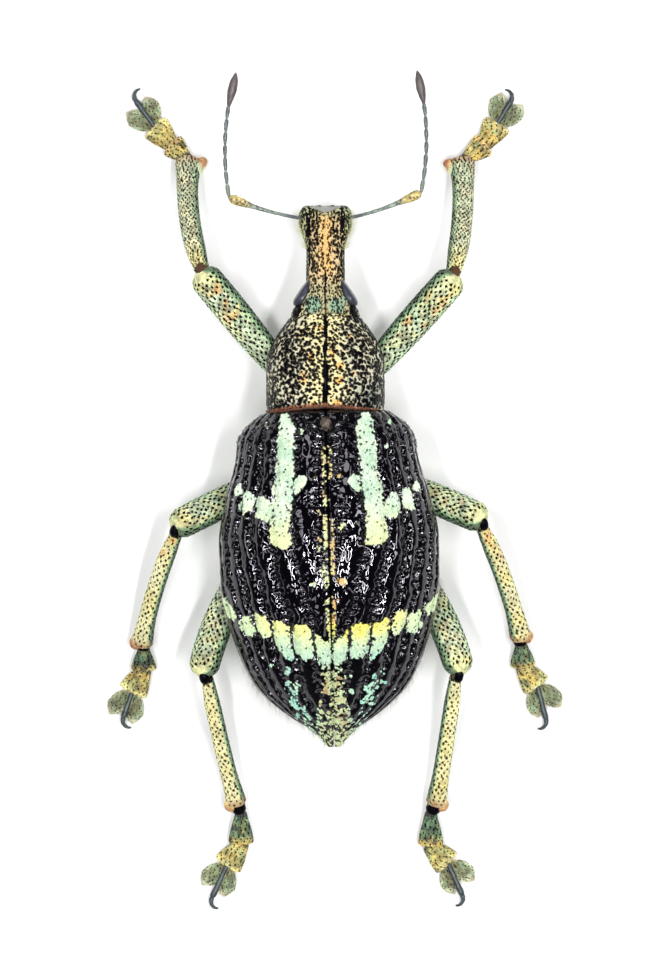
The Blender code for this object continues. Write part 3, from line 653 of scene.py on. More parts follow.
def coat(name, parts, spacing, half=SCALE_HALF, seed=60):
    """Scales over some surfaces. A part is a surface, marks, a relief and a place on the bake."""
    rows = []
    for number, (surface, marks, relief, (left, low, wide, high)) in enumerate(parts):
        u, v = roots(surface, spacing, seed + number)
        base = surface.place(u, v)
        cover, colour = marks(u, v, base)
        keep = cover > 0.6
        u, v, base, colour = u[keep], v[keep], base[keep], colour[keep]
        outward = surface.outward(u, v)
        at = base + outward * relief(u, v, base, cover[keep])[:, None]
        draw = [chance(np.arange(len(u)), number, seed + k) for k in range(3)]
        ahead = turned_about(outward, surface.ahead(u, v), (draw[0] - 0.5) * 2 * SCALE_LEAN)
        size = half * (0.85 + 0.3 * draw[1])[:, None]
        colour = colour * (0.9 + 0.2 * draw[2])[:, None]
        rows.append((at, outward, ahead, size, colour, np.stack((left + wide * u, low + high * v), axis=1)))
    piece = strewn(name, SCALE_SHAPE, SCALE_FACES, *gathered(rows))
    piece.data.materials.append(scale_finish)
    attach(piece, "root")


def bristly(name, *rows):
    piece = strewn(name, BRISTLE_SHAPE, BRISTLE_FACES, *rows)
    piece.data.materials.append(scale_finish)
    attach(piece, "root")


def hairs(surface, count, seed, half, tint, lift, low=0.0, high=1.0, left=0.0, right=1.0):
    """Roots, ways and tints of short hairs strewn over part of a surface, leaning towards its end."""
    number = np.arange(count)
    u, v = left + (right - left) * chance(number, seed), low + (high - low) * chance(number, seed + 1)
    outward = surface.outward(u, v)
    ahead = surface.ahead(u, v) + outward * (lift * (0.6 + 0.8 * chance(number, seed + 2)))[:, None]
    ahead = turned_about(outward, ahead, 0.8 * (chance(number, seed + 3) - 0.5))
    size = np.array(half) * (0.7 + 0.6 * chance(number, seed + 4))[:, None]
    colours = tint * (0.75 + 0.5 * chance(number, seed + 5))[:, None]
    at = surface.place(u, v) + ahead * size[:, :1] * 0.8
    return at, outward, ahead, size, colours, np.stack((u, v), axis=1)


scale_finish = scaly()
margin_hairs = []
for side, word in ((-1, "left"), (1, "right")):
    def marks(u, v, points, side=side):
        return case_marks(side, u, v, points)

    surface = case_surface(side)
    coat(f"scales_wing_case_{word}", [(surface, marks, case_relief, WHOLE_BAKE)], CASE_SCALE_SPACING)
    margin_hairs.append(
        hairs(surface, MARGIN_HAIRS, 65, MARGIN_HAIR_HALF, MARGIN_HAIR, 0.9, 0.5, 0.99, 0.80, 0.97)
    )

bristly("hairs_wing_cases", *gathered(margin_hairs))

# The scutellum. A small blunt shield let in at the front end of the suture, brown-grey and finely
# rough, and the only part of the middle back that shows between the wing cases.

SCUTELLUM_PLACE = np.array((0.0, -0.66, 7.42))
SCUTELLUM_HALF = np.array((0.30, 0.36, 0.42))
SCUTELLUM_MESH = (48, 40)
SCUTELLUM_BROWN = paint(96, 84, 74)


def closed_round(v, root_share, tip_share):
    """The share of its full girth that a limb with round ends has at v."""
    root = np.sqrt(np.clip(1 - (1 - np.clip(v / root_share, 0, 1)) ** 2, 0, 1))
    tip = np.sqrt(np.clip(1 - (1 - np.clip((1 - v) / tip_share, 0, 1)) ** 2, 0, 1))
    return root * tip


def scutellum_shape(u, v):
    around, rise = math.tau * u, math.pi * (v - 0.5)
    level = np.cos(rise)
    way = np.stack((np.sin(around) * level, np.cos(around) * level, np.sin(rise)), axis=1)
    points = way * SCUTELLUM_HALF
    points[:, 0] *= 1 - 0.22 * np.clip(-way[:, 1], 0, 1)
    points = SCUTELLUM_PLACE + points
    _, gap = cells(points, 0.09, 70)
    points = points + way * (0.02 * ease(0.0, 0.03, gap))[:, None]
    tint = (0.55 + 0.6 * drift(points, 0.12, 71))[:, None]
    return askew(points), SCUTELLUM_BROWN * np.clip(tint, 0.15, 1.2), 0.6 * np.ones(len(u))


piece = skin("scutellum_shield", *SCUTELLUM_MESH, scutellum_shape)
piece.data.materials.append(cuticle)
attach(piece, "root")
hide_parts("scutellum")

# The under body. Middle and hind thorax and the five plates of the belly, one hard trunk under the
# wing cases, coated with pale green scales but for the black granules and the seams between plates.

UNDER_START = -0.45
UNDER_LENGTH = 15.15
UNDER_SEAMS = (0.9, 3.35, 7.05, 9.25, 11.0, 11.95, 12.9)
UNDER_HALF_WIDTH = smooth(
    (-0.45, 1.9), (0.0, 2.2), (0.5, 2.7), (1.3, 3.66), (2.1, 3.78), (4.2, 4.32), (6.0, 4.65), (7.9, 4.64),
    (9.3, 4.40), (11.3, 3.80), (12.9, 2.95), (13.8, 2.0), (14.4, 1.1), (14.7, 0.5),
)
UNDER_TOP = smooth(
    (-0.45, 5.9), (0.0, 6.3), (0.8, 6.9), (1.5, 7.4), (4.0, 8.3), (6.5, 8.6), (9.0, 8.3), (11.5, 7.2),
    (13.5, 5.6), (14.7, 4.5),
)
UNDER_BELLY = smooth(
    (-0.45, 3.2), (0.0, 2.85), (2.0, 1.95), (4.5, 1.65), (8.5, 1.85), (12.0, 2.65), (14.7, 3.75),
)
UNDER_MESH = (136, 210)
UNDER_SCALE_SPACING = 0.125
UNDER_GRANULE_PITCH = 0.34
BELLY_GREEN = paint(176, 204, 158)
BELLY_CREAM = paint(214, 216, 160)


def bent(part, power):
    """A sine or cosine raised to a power, with its sign kept."""
    return np.sign(part) * np.abs(part) ** power


def under_body_place(u, v):
    v = np.clip(v, 0, 1)
    behind = UNDER_START + UNDER_LENGTH * v
    girth = closed_round(v, 0.03, 0.05)
    half, top, belly = UNDER_HALF_WIDTH(behind), UNDER_TOP(behind), UNDER_BELLY(behind)
    widest = HIND_MARGIN(np.clip(behind, 0, None)) - 0.04
    up = np.cos(math.tau * u)
    out, lift = bent(np.sin(math.tau * u), 0.85), bent(up, 0.9)
    half = np.where(up > 0, half - 0.28 * ease(0.0, 0.15, up), half)
    height = widest + np.where(up > 0, top - widest, widest - belly) * lift * girth
    return askew(np.stack((half * out * girth, -behind, height), axis=1))


def under_body_heart(v):
    behind = UNDER_START + UNDER_LENGTH * np.clip(v, 0, 1)
    return askew(np.stack((0 * v, -behind, HIND_MARGIN(np.clip(behind, 0, None)) - 0.04), axis=1))


def under_body_marks(u, v, points):
    behind = UNDER_START + UNDER_LENGTH * v
    near, _ = cells(points, UNDER_GRANULE_PITCH, 80)
    seam = np.min([np.abs(behind - place) for place in UNDER_SEAMS], axis=0)
    middle = ease(0.9, 0.2, np.abs(points[:, 0])) * 0.35
    grain = chance(*np.floor(points / 0.1).astype(np.int64).T, 81)
    cover = (near > 0.085) & (seam > 0.07) & (grain > middle) & (np.cos(math.tau * u) < 0.25)
    colour = blend(BELLY_GREEN, BELLY_CREAM, 0.5 + 0.8 * drift(points, 0.9, 82))
    return cover * 1.0, colour


def under_body_relief(u, v, points, cover):
    behind = UNDER_START + UNDER_LENGTH * v
    near, _ = cells(points, UNDER_GRANULE_PITCH, 80)
    height = 0.03 * ease(0.10, 0.04, near) - 0.02
    for place in UNDER_SEAMS:
        height = height - 0.10 * ease(0.35, 0.0, behind - place) * (behind >= place)
    keel = (behind > 3.4) & (behind < 7.0)
    return height - 0.06 * np.exp(-(points[:, 0] / 0.09) ** 2) * keel


def dressed(surface, marks, relief):
    """A skin's shape: its surface raised by its relief, with its marks' pigment, darker under scales."""

    def shape(u, v):
        base = surface.place(u, v)
        cover, colour = marks(u, v, base)
        points = base + surface.outward(u, v) * relief(u, v, base, cover)[:, None]
        return points, blend(BLACK, colour * BED_SHADE, cover), cover

    return shape


under_body = Surface(under_body_place, under_body_heart)
piece = skin("under_body", *UNDER_MESH, dressed(under_body, under_body_marks, under_body_relief))
piece.data.materials.append(satin_cuticle)
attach(piece, "root")
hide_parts("thorax", "abdomen")
parts = [(under_body, under_body_marks, under_body_relief, WHOLE_BAKE)]
coat("scales_under_body", parts, UNDER_SCALE_SPACING, SCALE_HALF * 1.45)

# The pronotum. A hard barrel round the front thorax, its back a crowd of shiny black granules that
# run together, with gold and green scales in the furrows, a bare groove down the middle.

PRONOTUM_LENGTH = 4.2
PRONOTUM_HALF_WIDTH = smooth(
    (0.0, 2.64), (0.5, 2.71), (2.2, 2.70), (2.9, 2.51), (3.4, 2.24), (3.9, 1.90), (4.2, 1.66),
)
PRONOTUM_TOP = smooth((0.0, 7.10), (1.2, 7.33), (2.6, 7.08), (4.2, 6.10))
PRONOTUM_BELLY = smooth((0.0, 2.47), (1.0, 2.17), (2.6, 2.32), (4.2, 2.90))
PRONOTUM_MIDDLE = 0.48
PRONOTUM_GRANULE_PITCH = 0.152
PRONOTUM_MESH = (360, 210)
PRONOTUM_SCALE_SPACING = 0.054
PALE_GOLD = paint(244, 230, 172)
ORANGE = paint(246, 194, 110)
SAGE = paint(214, 208, 180)
SLATE_GREEN = paint(148, 156, 144)


def barrel(half, top, bottom, middle_share, square, u):
    """Sideways and up for a ring round the body, from the middle of the belly over the right side."""
    middle = bottom + (top - bottom) * middle_share
    out, up = (bent(way, 2 / square) for way in (np.sin(math.tau * u), -np.cos(math.tau * u)))
    return half * out, middle + np.where(up > 0, top - middle, middle - bottom) * up


def crowded(shape):
    """The same shape, with more of its corners on the back."""
    return lambda u, v: shape(u + 0.4 * np.sin(math.tau * u) / math.tau, v)


def pronotum_place(u, v):
    v = np.clip(v, 0, 1)
    ahead = np.interp(v, (0.05, 0.96, 0.98, 1), (0, 1, 1, 0.96)) * PRONOTUM_LENGTH
    ahead = np.where(v < 0.05, np.interp(v, (0, 0.03, 0.05), (0.3, 0.0, 0.06)), ahead)
    girth = np.interp(v, (0, 0.025, 0.035, 0.95, 0.975, 1), (0, 0.955, 1, 1, 0.97, 0))
    half, top, belly = (outline(ahead) for outline in (PRONOTUM_HALF_WIDTH, PRONOTUM_TOP, PRONOTUM_BELLY))
    x, z = barrel(half, top, belly, PRONOTUM_MIDDLE, 2.3, u)
    middle = belly + (top - belly) * PRONOTUM_MIDDLE
    lobe = 0.26 * np.clip(1 - (x / 1.75) ** 2, 0, 1) * (z > middle) * ease(2.6, 4.2, ahead)
    hollow = 0.16 * ease(1.2, 0.0, ahead) * np.clip((np.abs(x) / 2.6) ** 2 * 2 - 1, -1, 1) * (v < 0.9)
    return np.stack((x * girth, ahead + lobe - hollow, middle + (z - middle) * girth), axis=1)


def pronotum_heart(v):
    ahead = np.clip(v, 0.04, 0.96) * PRONOTUM_LENGTH
    return np.stack((0 * v, ahead, 0 * v + 4.6), axis=1)


def granules(points, size, reach, seed):
    """How far a place lies outside the nearest granule. Granules of this reach run together."""
    lumps = [0.34 * size * drift(points, 0.9 * size, seed + k) for k in range(3)]
    return cells(points + np.stack(lumps, axis=1), size, seed + 5)[0] - reach


def pronotum_gap(points):
    aside = np.abs(points[:, 0])
    reach = 0.065 + 0.017 * ease(0.3, 1.4, aside) + 0.014 * drift(points, 0.5, 89)
    return granules(points, PRONOTUM_GRANULE_PITCH, reach, 90)


def pronotum_marks(u, v, points):
    x, y, z = points.T
    half = 0.08 + 0.05 * ease(3.4, 1.5, y) + 0.06 * drift(points, 0.3, 96)
    groove = (np.abs(x + 0.03 * np.sin(3 * y)) < half) & (z > 5)
    corner = ease(0.6, 1.6, x) * ease(2.2, 0.6, y) * (0.7 + 0.8 * drift(points, 0.4, 97))
    cover = np.clip(pronotum_gap(points) / 0.035, 0, 1) * ~groove
    slaty = ease(0.1, 0.6, drift(points, 0.6, 95)) * ease(0.8, 1.6, np.abs(x))
    colour = painted(
        SAGE,
        (PALE_GOLD, ease(1.5, 0.2, np.abs(x) + 0.5 * drift(points, 0.6, 98))),
        (SLATE_GREEN, 0.9 * corner + slaty),
        (ORANGE, ease(0.32, 0.60, drift(points, 0.34, 99)) * ease(2.0, 0.6, np.abs(x))),
    )
    return cover, colour


def pronotum_relief(u, v, points, cover):
    x, _, z = points.T
    rise = ease(0.035, -0.035, pronotum_gap(points))
    groove = 0.12 * np.exp(-(x / 0.10) ** 2) * (z > 5)
    return 0.045 * rise - 0.02 + 0.015 * drift(points, 0.15, 100) * rise - groove


pronotum = Surface(pronotum_place, pronotum_heart)
piece = skin("pronotum_shield", *PRONOTUM_MESH, crowded(dressed(pronotum, pronotum_marks, pronotum_relief)))
piece.data.materials.append(satin_cuticle)
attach(piece, "root")
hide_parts("pronotum")
parts = [(pronotum, pronotum_marks, pronotum_relief, WHOLE_BAKE)]
coat("scales_pronotum", parts, PRONOTUM_SCALE_SPACING, SCALE_HALF * 0.64, 160)

# The fringe behind the pronotum. A close row of short red-brown bristles over the joint with the
# wing cases.

FRINGE_COUNT = 2600
FRINGE_HALF = np.array((0.13, 0.018, 0.018))
RED_BROWN = paint(132, 72, 38)

number = np.arange(FRINGE_COUNT)
u = 0.22 + 0.56 * (number + chance(number, 110)) / FRINGE_COUNT
v = 0.034 + 0.012 * chance(number, 111)
outward = pronotum.outward(u, v)
ahead = -pronotum.ahead(u, v) + outward * (0.35 + 0.3 * chance(number, 112))[:, None]
ahead = turned_about(outward, ahead, 0.9 * (chance(number, 113) - 0.5))
tint = RED_BROWN * (0.5 + 0.9 * chance(number, 114))[:, None]
half = FRINGE_HALF * (0.7 + 0.6 * chance(number, 115))[:, None]
bristly("fringe_pronotum", pronotum.place(u, v), outward, ahead, half, tint, np.stack((u, v), axis=1))

# The head and rostrum. One hard capsule, a long square snout with a gold stripe down its middle
# between black furrows, swollen at its end where the feelers are let in, and a notch in the tip.

HEAD_START = 3.9
HEAD_END = 9.45
# Outlines of the head, by how far ahead of the pronotum's front edge
HEAD_HALF_WIDTH = smooth(
    (-0.3, 1.62), (0.0, 1.60), (0.35, 1.52), (0.65, 1.35), (1.2, 1.07), (1.8, 0.88), (3.1, 0.87),
    (3.8, 1.03), (4.4, 1.22), (4.8, 1.22), (5.25, 1.02),
)
HEAD_TOP = smooth(
    (-0.3, 6.0), (0.0, 5.95), (0.8, 5.80), (1.8, 5.40), (3.6, 4.90), (4.8, 4.55), (5.25, 4.30),
)
HEAD_BELLY = smooth(
    (-0.3, 2.98), (0.0, 3.00), (0.9, 3.02), (1.8, 3.12), (3.6, 2.95), (4.6, 2.60), (5.25, 2.75),
)
HEAD_GRANULE_PITCH = 0.108
HEAD_MESH = (272, 276)
HEAD_SCALE_SPACING = 0.050
SNOUT_HAIR_HALF = (0.14, 0.008, 0.008)
SNOUT_HAIRS = 320
PEACH = paint(242, 194, 120)
CREAM = paint(224, 196, 146)
MOSS = paint(142, 174, 146)
OLIVE = paint(168, 174, 132)
PLATE_GREY = paint(136, 138, 132)
SNOUT_HAIR = paint(196, 196, 140)


def head_place(u, v):
    v = np.clip(v, 0, 1)
    share = np.interp(v, (0, 0.02, 0.965, 0.985, 1), (0.02, 0, 0.985, 1, 0.97))
    y = HEAD_START + (HEAD_END - HEAD_START) * share
    girth = np.interp(v, (0, 0.02, 0.96, 0.98, 1), (0, 1, 1, 0.93, 0))
    ahead = y - PRONOTUM_LENGTH
    half, top, belly = (outline(ahead) for outline in (HEAD_HALF_WIDTH, HEAD_TOP, HEAD_BELLY))
    x, z = barrel(half, top, belly, 0.5, 2.8, u)
    middle = (belly + top) / 2
    x, z = x * girth, middle + (z - middle) * girth
    notch = ease(0.72, 0.2, np.abs(x)) * ease(4.72, 5.2, ahead) * (z > middle)
    sunk = 0.10 * ease(0.6, 0.25, np.abs(x)) * ease(3.9, 4.8, ahead) * (z > middle)
    return np.stack((x, y - 0.03 * notch, z - 0.30 * notch - sunk), axis=1)


def head_heart(v):
    y = HEAD_START + (HEAD_END - HEAD_START) * np.clip(v, 0.02, 0.97)
    return np.stack((0 * v, y, 0 * v + 4.0), axis=1)


def head_gap(points):
    x, y, _ = points.T
    reach = 0.040 + 0.011 * ease(0.15, 0.5, np.abs(x)) - 0.008 * ease(6.2, 5.4, y)
    return granules(points * (1.1, 0.70, 1), HEAD_GRANULE_PITCH, reach, 120)


def on_tip_plate(width, y, z):
    return (y > 9.12 + 0.34 * width) & (width < 0.72) & (z > 3.6)


def head_marks(u, v, points):
    x, y, z = points.T
    width = np.abs(x + 0.03 * drift(points, 0.5, 125))
    stripe = (width < 0.05 + 0.07 * drift(points, 0.25, 126)) & (y > 6.3) & (y < 8.9)
    line = (width < 0.055) & (y < 6.45)
    grooves = (np.abs(width - 0.38) < 0.04) & (y > 7.6) | (np.abs(width - 0.74) < 0.05) & (y > 6.6)
    grooves = grooves | (width > 0.70) & (width < 0.92) & (y > 8.0) & (z > 4.3)
    broken = chance(*np.floor(points / 0.12).astype(np.int64).T, 127) < 0.8
    temple = (width + 0.12 * drift(points, 0.2, 130) > 1.14) & (y < 5.1)
    temple = temple & (z > 4.9 + 0.25 * drift(points, 0.2, 131))
    bald = line | (grooves & broken) | on_tip_plate(width, y, z) | temple
    cover = np.maximum(np.clip(head_gap(points) / 0.03, 0, 1), stripe) * ~bald
    from_patch = np.hypot((width - 0.58) / 0.48, (y - 4.86) / 0.50)
    colour = painted(
        CREAM,
        (PEACH, ease(0.50, 0.10, width + 0.15 * drift(points, 0.4, 128)) * ease(6.0, 6.6, y)),
        (OLIVE, ease(0.60, 0.95, width) * ease(5.9, 6.8, y) * 0.8),
        (OLIVE, ease(6.2, 5.6, y) * 0.6),
        (MOSS, ease(1.0, 0.55, from_patch + 0.3 * drift(points, 0.3, 129))),
        (OLIVE, ease(8.7, 9.1, y) * 0.7),
        (BELLY_GREEN, ease(4.3, 3.7, z)),
    )
    return cover, colour


def head_relief(u, v, points, cover):
    x, y, z = points.T
    width = np.abs(x)
    back = z > 4.3
    height = 0.04 * ease(0.03, -0.03, head_gap(points)) - 0.02
    height = height - 0.07 * np.exp(-(width / 0.05) ** 2) * (y < 6.45) * (y > 4.3) * back
    height = height - 0.05 * np.exp(-((width - 0.38) / 0.06) ** 2) * ease(7.2, 7.8, y) * back
    height = height + 0.05 * np.exp(-((width - 0.56) / 0.09) ** 2) * ease(6.2, 7.0, y) * back
    height = height + 0.04 * np.exp(-(width / 0.16) ** 2) * ease(6.3, 6.9, y) * ease(9.0, 8.5, y) * back
    scrobe = np.exp(-((z - 3.95 - 0.10 * (y - 8.9)) / 0.16) ** 2) * ease(7.3, 8.4, y) * ease(9.2, 8.95, y)
    return height - 0.16 * scrobe * (width > 0.7)


def head_shape(u, v):
    """The head's skin. The plate in the notch of its tip is bare and grey."""
    points, colours, cover = dressed(head, head_marks, head_relief)(u, v)
    x, y, z = head.place(u, v).T
    plate = on_tip_plate(np.abs(x), y, z)
    return points, blend(colours, PLATE_GREY, plate * 1.0), np.maximum(cover, 0.8 * plate)


head = Surface(head_place, head_heart)
piece = skin("head_capsule", *HEAD_MESH, crowded(head_shape))
piece.data.materials.append(satin_cuticle)
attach(piece, "root")
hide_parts("head")
parts = [(head, head_marks, head_relief, WHOLE_BAKE)]
coat("scales_head", parts, HEAD_SCALE_SPACING, SCALE_HALF * 0.60, 180)
snout_hairs = [
    hairs(head, SNOUT_HAIRS, 190, SNOUT_HAIR_HALF, SNOUT_HAIR, 1.1, 0.62, 0.93, left, left + 0.16)
    for left in (0.18, 0.66)
]
bristly("hairs_snout", *gathered(snout_hairs))

# The eyes. Two low domes of some thousand tiny lenses under one clear skin, dark slate blue, let
# into the sides of the head behind the snout.

EYE_HALF = np.array((0.29, 0.68, 0.72))
EYE_PLACE = (0.965, 5.46, 4.74)
EYE_LEAN = 0.42
EYE_TAPER = 0.60
EYE_FALL = 0.24
EYE_SLATE = (0.015, 0.016, 0.026)
EYE_HAZE = (0.030, 0.032, 0.046)
EYE_MESH = (72, 48)


def eye_glass():
    make, shader, made = finish("eye", Coat_Weight=0.2, Coat_Roughness=0.06, IOR=1.3)
    place = make.node("ShaderNodeTexCoord", {}, "Object")
    lenses = make.node("ShaderNodeTexVoronoi", {"Vector": place, "Scale": 30000.0}, "Distance")
    slate = make.mix(make.noise(2500.0), (*EYE_SLATE, 1), (*EYE_HAZE, 1))
    wire(shader, Base_Color=slate, Roughness=0.16 + 0.12 * lenses, Normal=make.bump(1 - lenses, 0.008, 0.6))
    return made


eye_finish = eye_glass()
for side, word in ((-1, "left"), (1, "right")):
    def eye_shape(u, v, side=side):
        around, rise = math.tau * u, math.pi * (v - 0.5)
        ring = np.clip(np.cos(rise), 0, 1) ** 0.78
        aside, ahead = (bent(part, 0.82) * ring for part in (np.sin(around), np.cos(around)))
        x = EYE_PLACE[0] + EYE_HALF[0] * aside * (1 - EYE_TAPER * ahead) - EYE_LEAN * EYE_HALF[1] * ahead
        y = EYE_PLACE[1] + EYE_HALF[1] * ahead
        z = EYE_PLACE[2] + EYE_HALF[2] * np.sin(rise) - EYE_FALL * ahead
        points = np.stack((side * x, y, z), axis=1)
        return points, np.tile(EYE_SLATE, (len(u), 1)), np.zeros(len(u))

    piece = skin(f"eye_dome_{word}", *EYE_MESH, eye_shape)
    piece.data.materials.append(eye_finish)
    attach(piece, "root")
    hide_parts(f"eye_{word}")

# The jaws. A pair of short blunt pincers, bare and black, folded under the snout's front edge.

JAW_HALF = np.array((0.36, 0.40, 0.30))
JAW_PLACE = np.array((0.33, 9.08, 2.98))
JAW_MESH = (40, 32)


def jaw_shape(side):
    def shape(u, v):
        around, rise = math.tau * u, math.pi * (v - 0.5)
        ring = np.cos(rise)
        way = np.stack((ring * np.sin(around), np.sin(rise), -ring * np.cos(around)), axis=1)
        points = JAW_PLACE * (side, 1, 1) + way * JAW_HALF
        points = points + way * (0.02 * drift(points, 0.12, 140))[:, None]
        return points, np.tile(BLACK, (len(u), 1)), np.zeros(len(u))

    return shape


for side, word in ((-1, "left"), (1, "right")):
    piece = skin(f"jaw_{word}", *JAW_MESH, jaw_shape(side))
    piece.data.materials.append(cuticle)
    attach(piece, "root")

# The feelers. From the side of the snout's end a long first joint, slender and then clubbed, and at
# the elbow seven short beads and a spindle, slate grey with a bloom of pale hair.

ANTENNAE = {
    "left": (-1, (0.98, 8.88, 3.95), (4.45, 9.82, 4.65), (4.13, 15.55, 4.65)),
    "right": (1, (0.98, 8.88, 3.95), (4.41, 10.04, 4.65), (4.24, 15.64, 4.65)),
}
BEADS = 7
BEAD_SHARE = 0.735
BEAD_MESH = (24, 36)
SCAPE_MESH = (32, 130)
SCAPE_WIDTH = smooth(
    (0, 0.10), (0.12, 0.075), (0.45, 0.085), (0.68, 0.11), (0.84, 0.20), (0.93, 0.225), (1, 0.17),
)
FLAGELLUM_BOW = 0.33
BEAD_WIDTH = smooth((0, 0.045), (0.25, 0.08), (0.7, 0.105), (0.93, 0.09), (1, 0.045))
CLUB_WIDTH = smooth((0, 0.06), (0.2, 0.14), (0.5, 0.215), (0.72, 0.19), (0.9, 0.11), (1, 0.035))
SLATE = paint(60, 66, 70)
DARK_SLATE = paint(42, 50, 58)
PALE_SLATE = paint(104, 116, 106)
CLUB_BROWN = paint(70, 62, 62)
AMBER = paint(166, 148, 92)
BLOOM = paint(200, 206, 206)
SCAPE_HAIR_HALF = (0.045, 0.007, 0.007)
SCAPE_HAIRS = 260
BEAD_HAIR_HALF = (0.05, 0.006, 0.006)
BEAD_HAIRS = 110
CLUB_HAIRS = 420


def way_between(start, end, bow=(0, 0, 0)):
    """The middle line of a limb from start to end, bulging by bow at its middle."""
    start, end, bow = (np.array(place, float) for place in (start, end, bow))

    def centre(t):
        t = t[:, None]
        return start + (end - start) * t + bow * 4 * t * (1 - t)

    return centre


class Limb(Surface):
    """A rounded rod along a middle line, as wide and high as two outlines say, with round ends."""

    def __init__(self, centre, width, height=None, ends=(0.05, 0.05), floor=-9.0, crowd=0.10):
        self.centre, self.width, self.height = centre, width, height or width
        self.ends, self.floor, self.crowd = ends, floor, crowd
        super().__init__(self.limb_place, lambda v: centre(self.along(v)))

    def along(self, v):
        """How far along the middle line v lies. Rings lie closer towards the ends."""
        v = np.clip(v, 0, 1)
        return v - self.crowd * np.sin(math.tau * v)

    def limb_place(self, u, v):
        t = self.along(v)
        low, high = self.centre(np.clip(t - 1e-3, 0, 1)), self.centre(np.clip(t + 1e-3, 0, 1))
        ahead = (high - low) / np.linalg.norm(high - low, axis=1, keepdims=True)
        across = np.cross(ahead, (0, 0, 1.0))
        across /= np.maximum(np.linalg.norm(across, axis=1, keepdims=True), 1e-9)
        up = np.cross(across, ahead)
        girth = closed_round(t, *self.ends)
        around = math.tau * u
        wide = (self.width(t) * girth * np.sin(around))[:, None]
        tall = (-self.height(t) * girth * np.cos(around))[:, None]
        points = self.centre(t) + across * wide + up * tall
        points[:, 2] = np.maximum(points[:, 2], self.floor)
        return points


def bare(marks, surface):
    """The shape of a skin that has no scales: its surface, finely lumpy, with its marks' own tint."""

    def shape(u, v):
        base = surface.place(u, v)
        cover, colour = marks(u, v, base)
        lumps = 0.012 * drift(base, 0.09, 150)
        return base + surface.outward(u, v) * lumps[:, None], colour, cover

    return shape


def feeler_skin():
    """Skin of feelers and claws: its own tint at each corner, satin, with a fine grain."""
    make, shader, made = finish("slate cuticle", IOR=1.5)
    grain = make.noise(16000.0, 3.0)
    tint = make.mix(grain, make.pigment(), (1.35, 1.35, 1.3, 1), "MULTIPLY")
    wire(shader, Base_Color=tint, Roughness=0.28 + 0.3 * grain, Normal=make.bump(grain, 0.012, 0.6))
    return made


def joined(name, pieces):
    """Closed shells made one piece."""
    bpy.ops.object.select_all(action="DESELECT")
    for piece in pieces:
        piece.select_set(True)
    bpy.context.view_layer.objects.active = pieces[0]
    bpy.ops.object.join()
    pieces[0].name = pieces[0].data.name = name
    return pieces[0]


slate_finish = feeler_skin()
feeler_hairs = []
for word, (side, root, elbow, tip) in ANTENNAE.items():
    root, elbow, tip = (np.array(place) * (side, 1, 1) for place in (root, elbow, tip))
    inner_root = root - (elbow - root) * 0.06
    scape = Limb(way_between(inner_root, elbow, (0, -0.14, 0)), SCAPE_WIDTH, ends=(0.02, 0.05))

    def scape_marks(u, v, points, scape=scape):
        t = scape.along(v)
        colour = painted(DARK_SLATE, (PALE_SLATE, ease(0.15, 0.5, t)), (AMBER, ease(0.68, 0.85, t)))
        speck, _ = cells(points, 0.15, 151)
        colour = colour * (0.9 + 0.7 * drift(points, 0.09, 155) * ease(0.2, 0.4, t))[:, None]
        colour = blend(colour, colour * 0.12, ease(0.07, 0.05, speck) * ease(0.5, 0.7, t))
        return np.zeros(len(u)), colour

    piece = skin(f"scape_joint_{word}", *SCAPE_MESH, bare(scape_marks, scape))
    piece.data.materials.append(slate_finish)
    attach(piece, "root")
    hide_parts(f"scape_{word}")
    feeler_hairs.append(hairs(scape, SCAPE_HAIRS, 152, SCAPE_HAIR_HALF, PALE_SLATE, 0.35, 0.1))

    beads = []
    flagellum_line = way_between(elbow, tip, (side * FLAGELLUM_BOW, 0, 0))
    for number in range(BEADS + 1):
        start_share, end_share = BEAD_SHARE * (number - 0.06) / BEADS, BEAD_SHARE * (number + 1.0) / BEADS
        width, count, tint = BEAD_WIDTH, BEAD_HAIRS, BLOOM
        shade = blend(PALE_SLATE * 0.6, SLATE, np.array((number / 2.0,)))[0]
        if number == BEADS:
            end_share, width, count = 1, CLUB_WIDTH, CLUB_HAIRS
            tint, shade = CLUB_BROWN * 1.8, CLUB_BROWN
        start, end = flagellum_line(np.array((start_share, end_share)))
        bead = Limb(way_between(start, end), width, ends=(0.06, 0.05))

        def bead_marks(u, v, points, shade=shade):
            return np.zeros(len(u)), shade * (0.85 + 0.3 * drift(points, 0.12, 153))[:, None]

        beads.append(skin(f"bead_{number}", *BEAD_MESH, bare(bead_marks, bead)))
        feeler_hairs.append(hairs(bead, count, 154 + number, BEAD_HAIR_HALF, tint, 0.5))
    piece = joined(f"flagellum_joints_{word}", beads)
    piece.data.materials.clear()
    piece.data.materials.append(slate_finish)
    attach(piece, "root")
    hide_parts(f"flagellum_{word}")

bristly("hairs_feelers", *gathered(feeler_hairs))

# The legs. Six, each with a stout thigh, a curved shin flared at its end, a foot of two broad
# joints, two soft lobes and a slim last joint with its claws. Green and cream scales cover them,
# but for black granules in slanting rows.

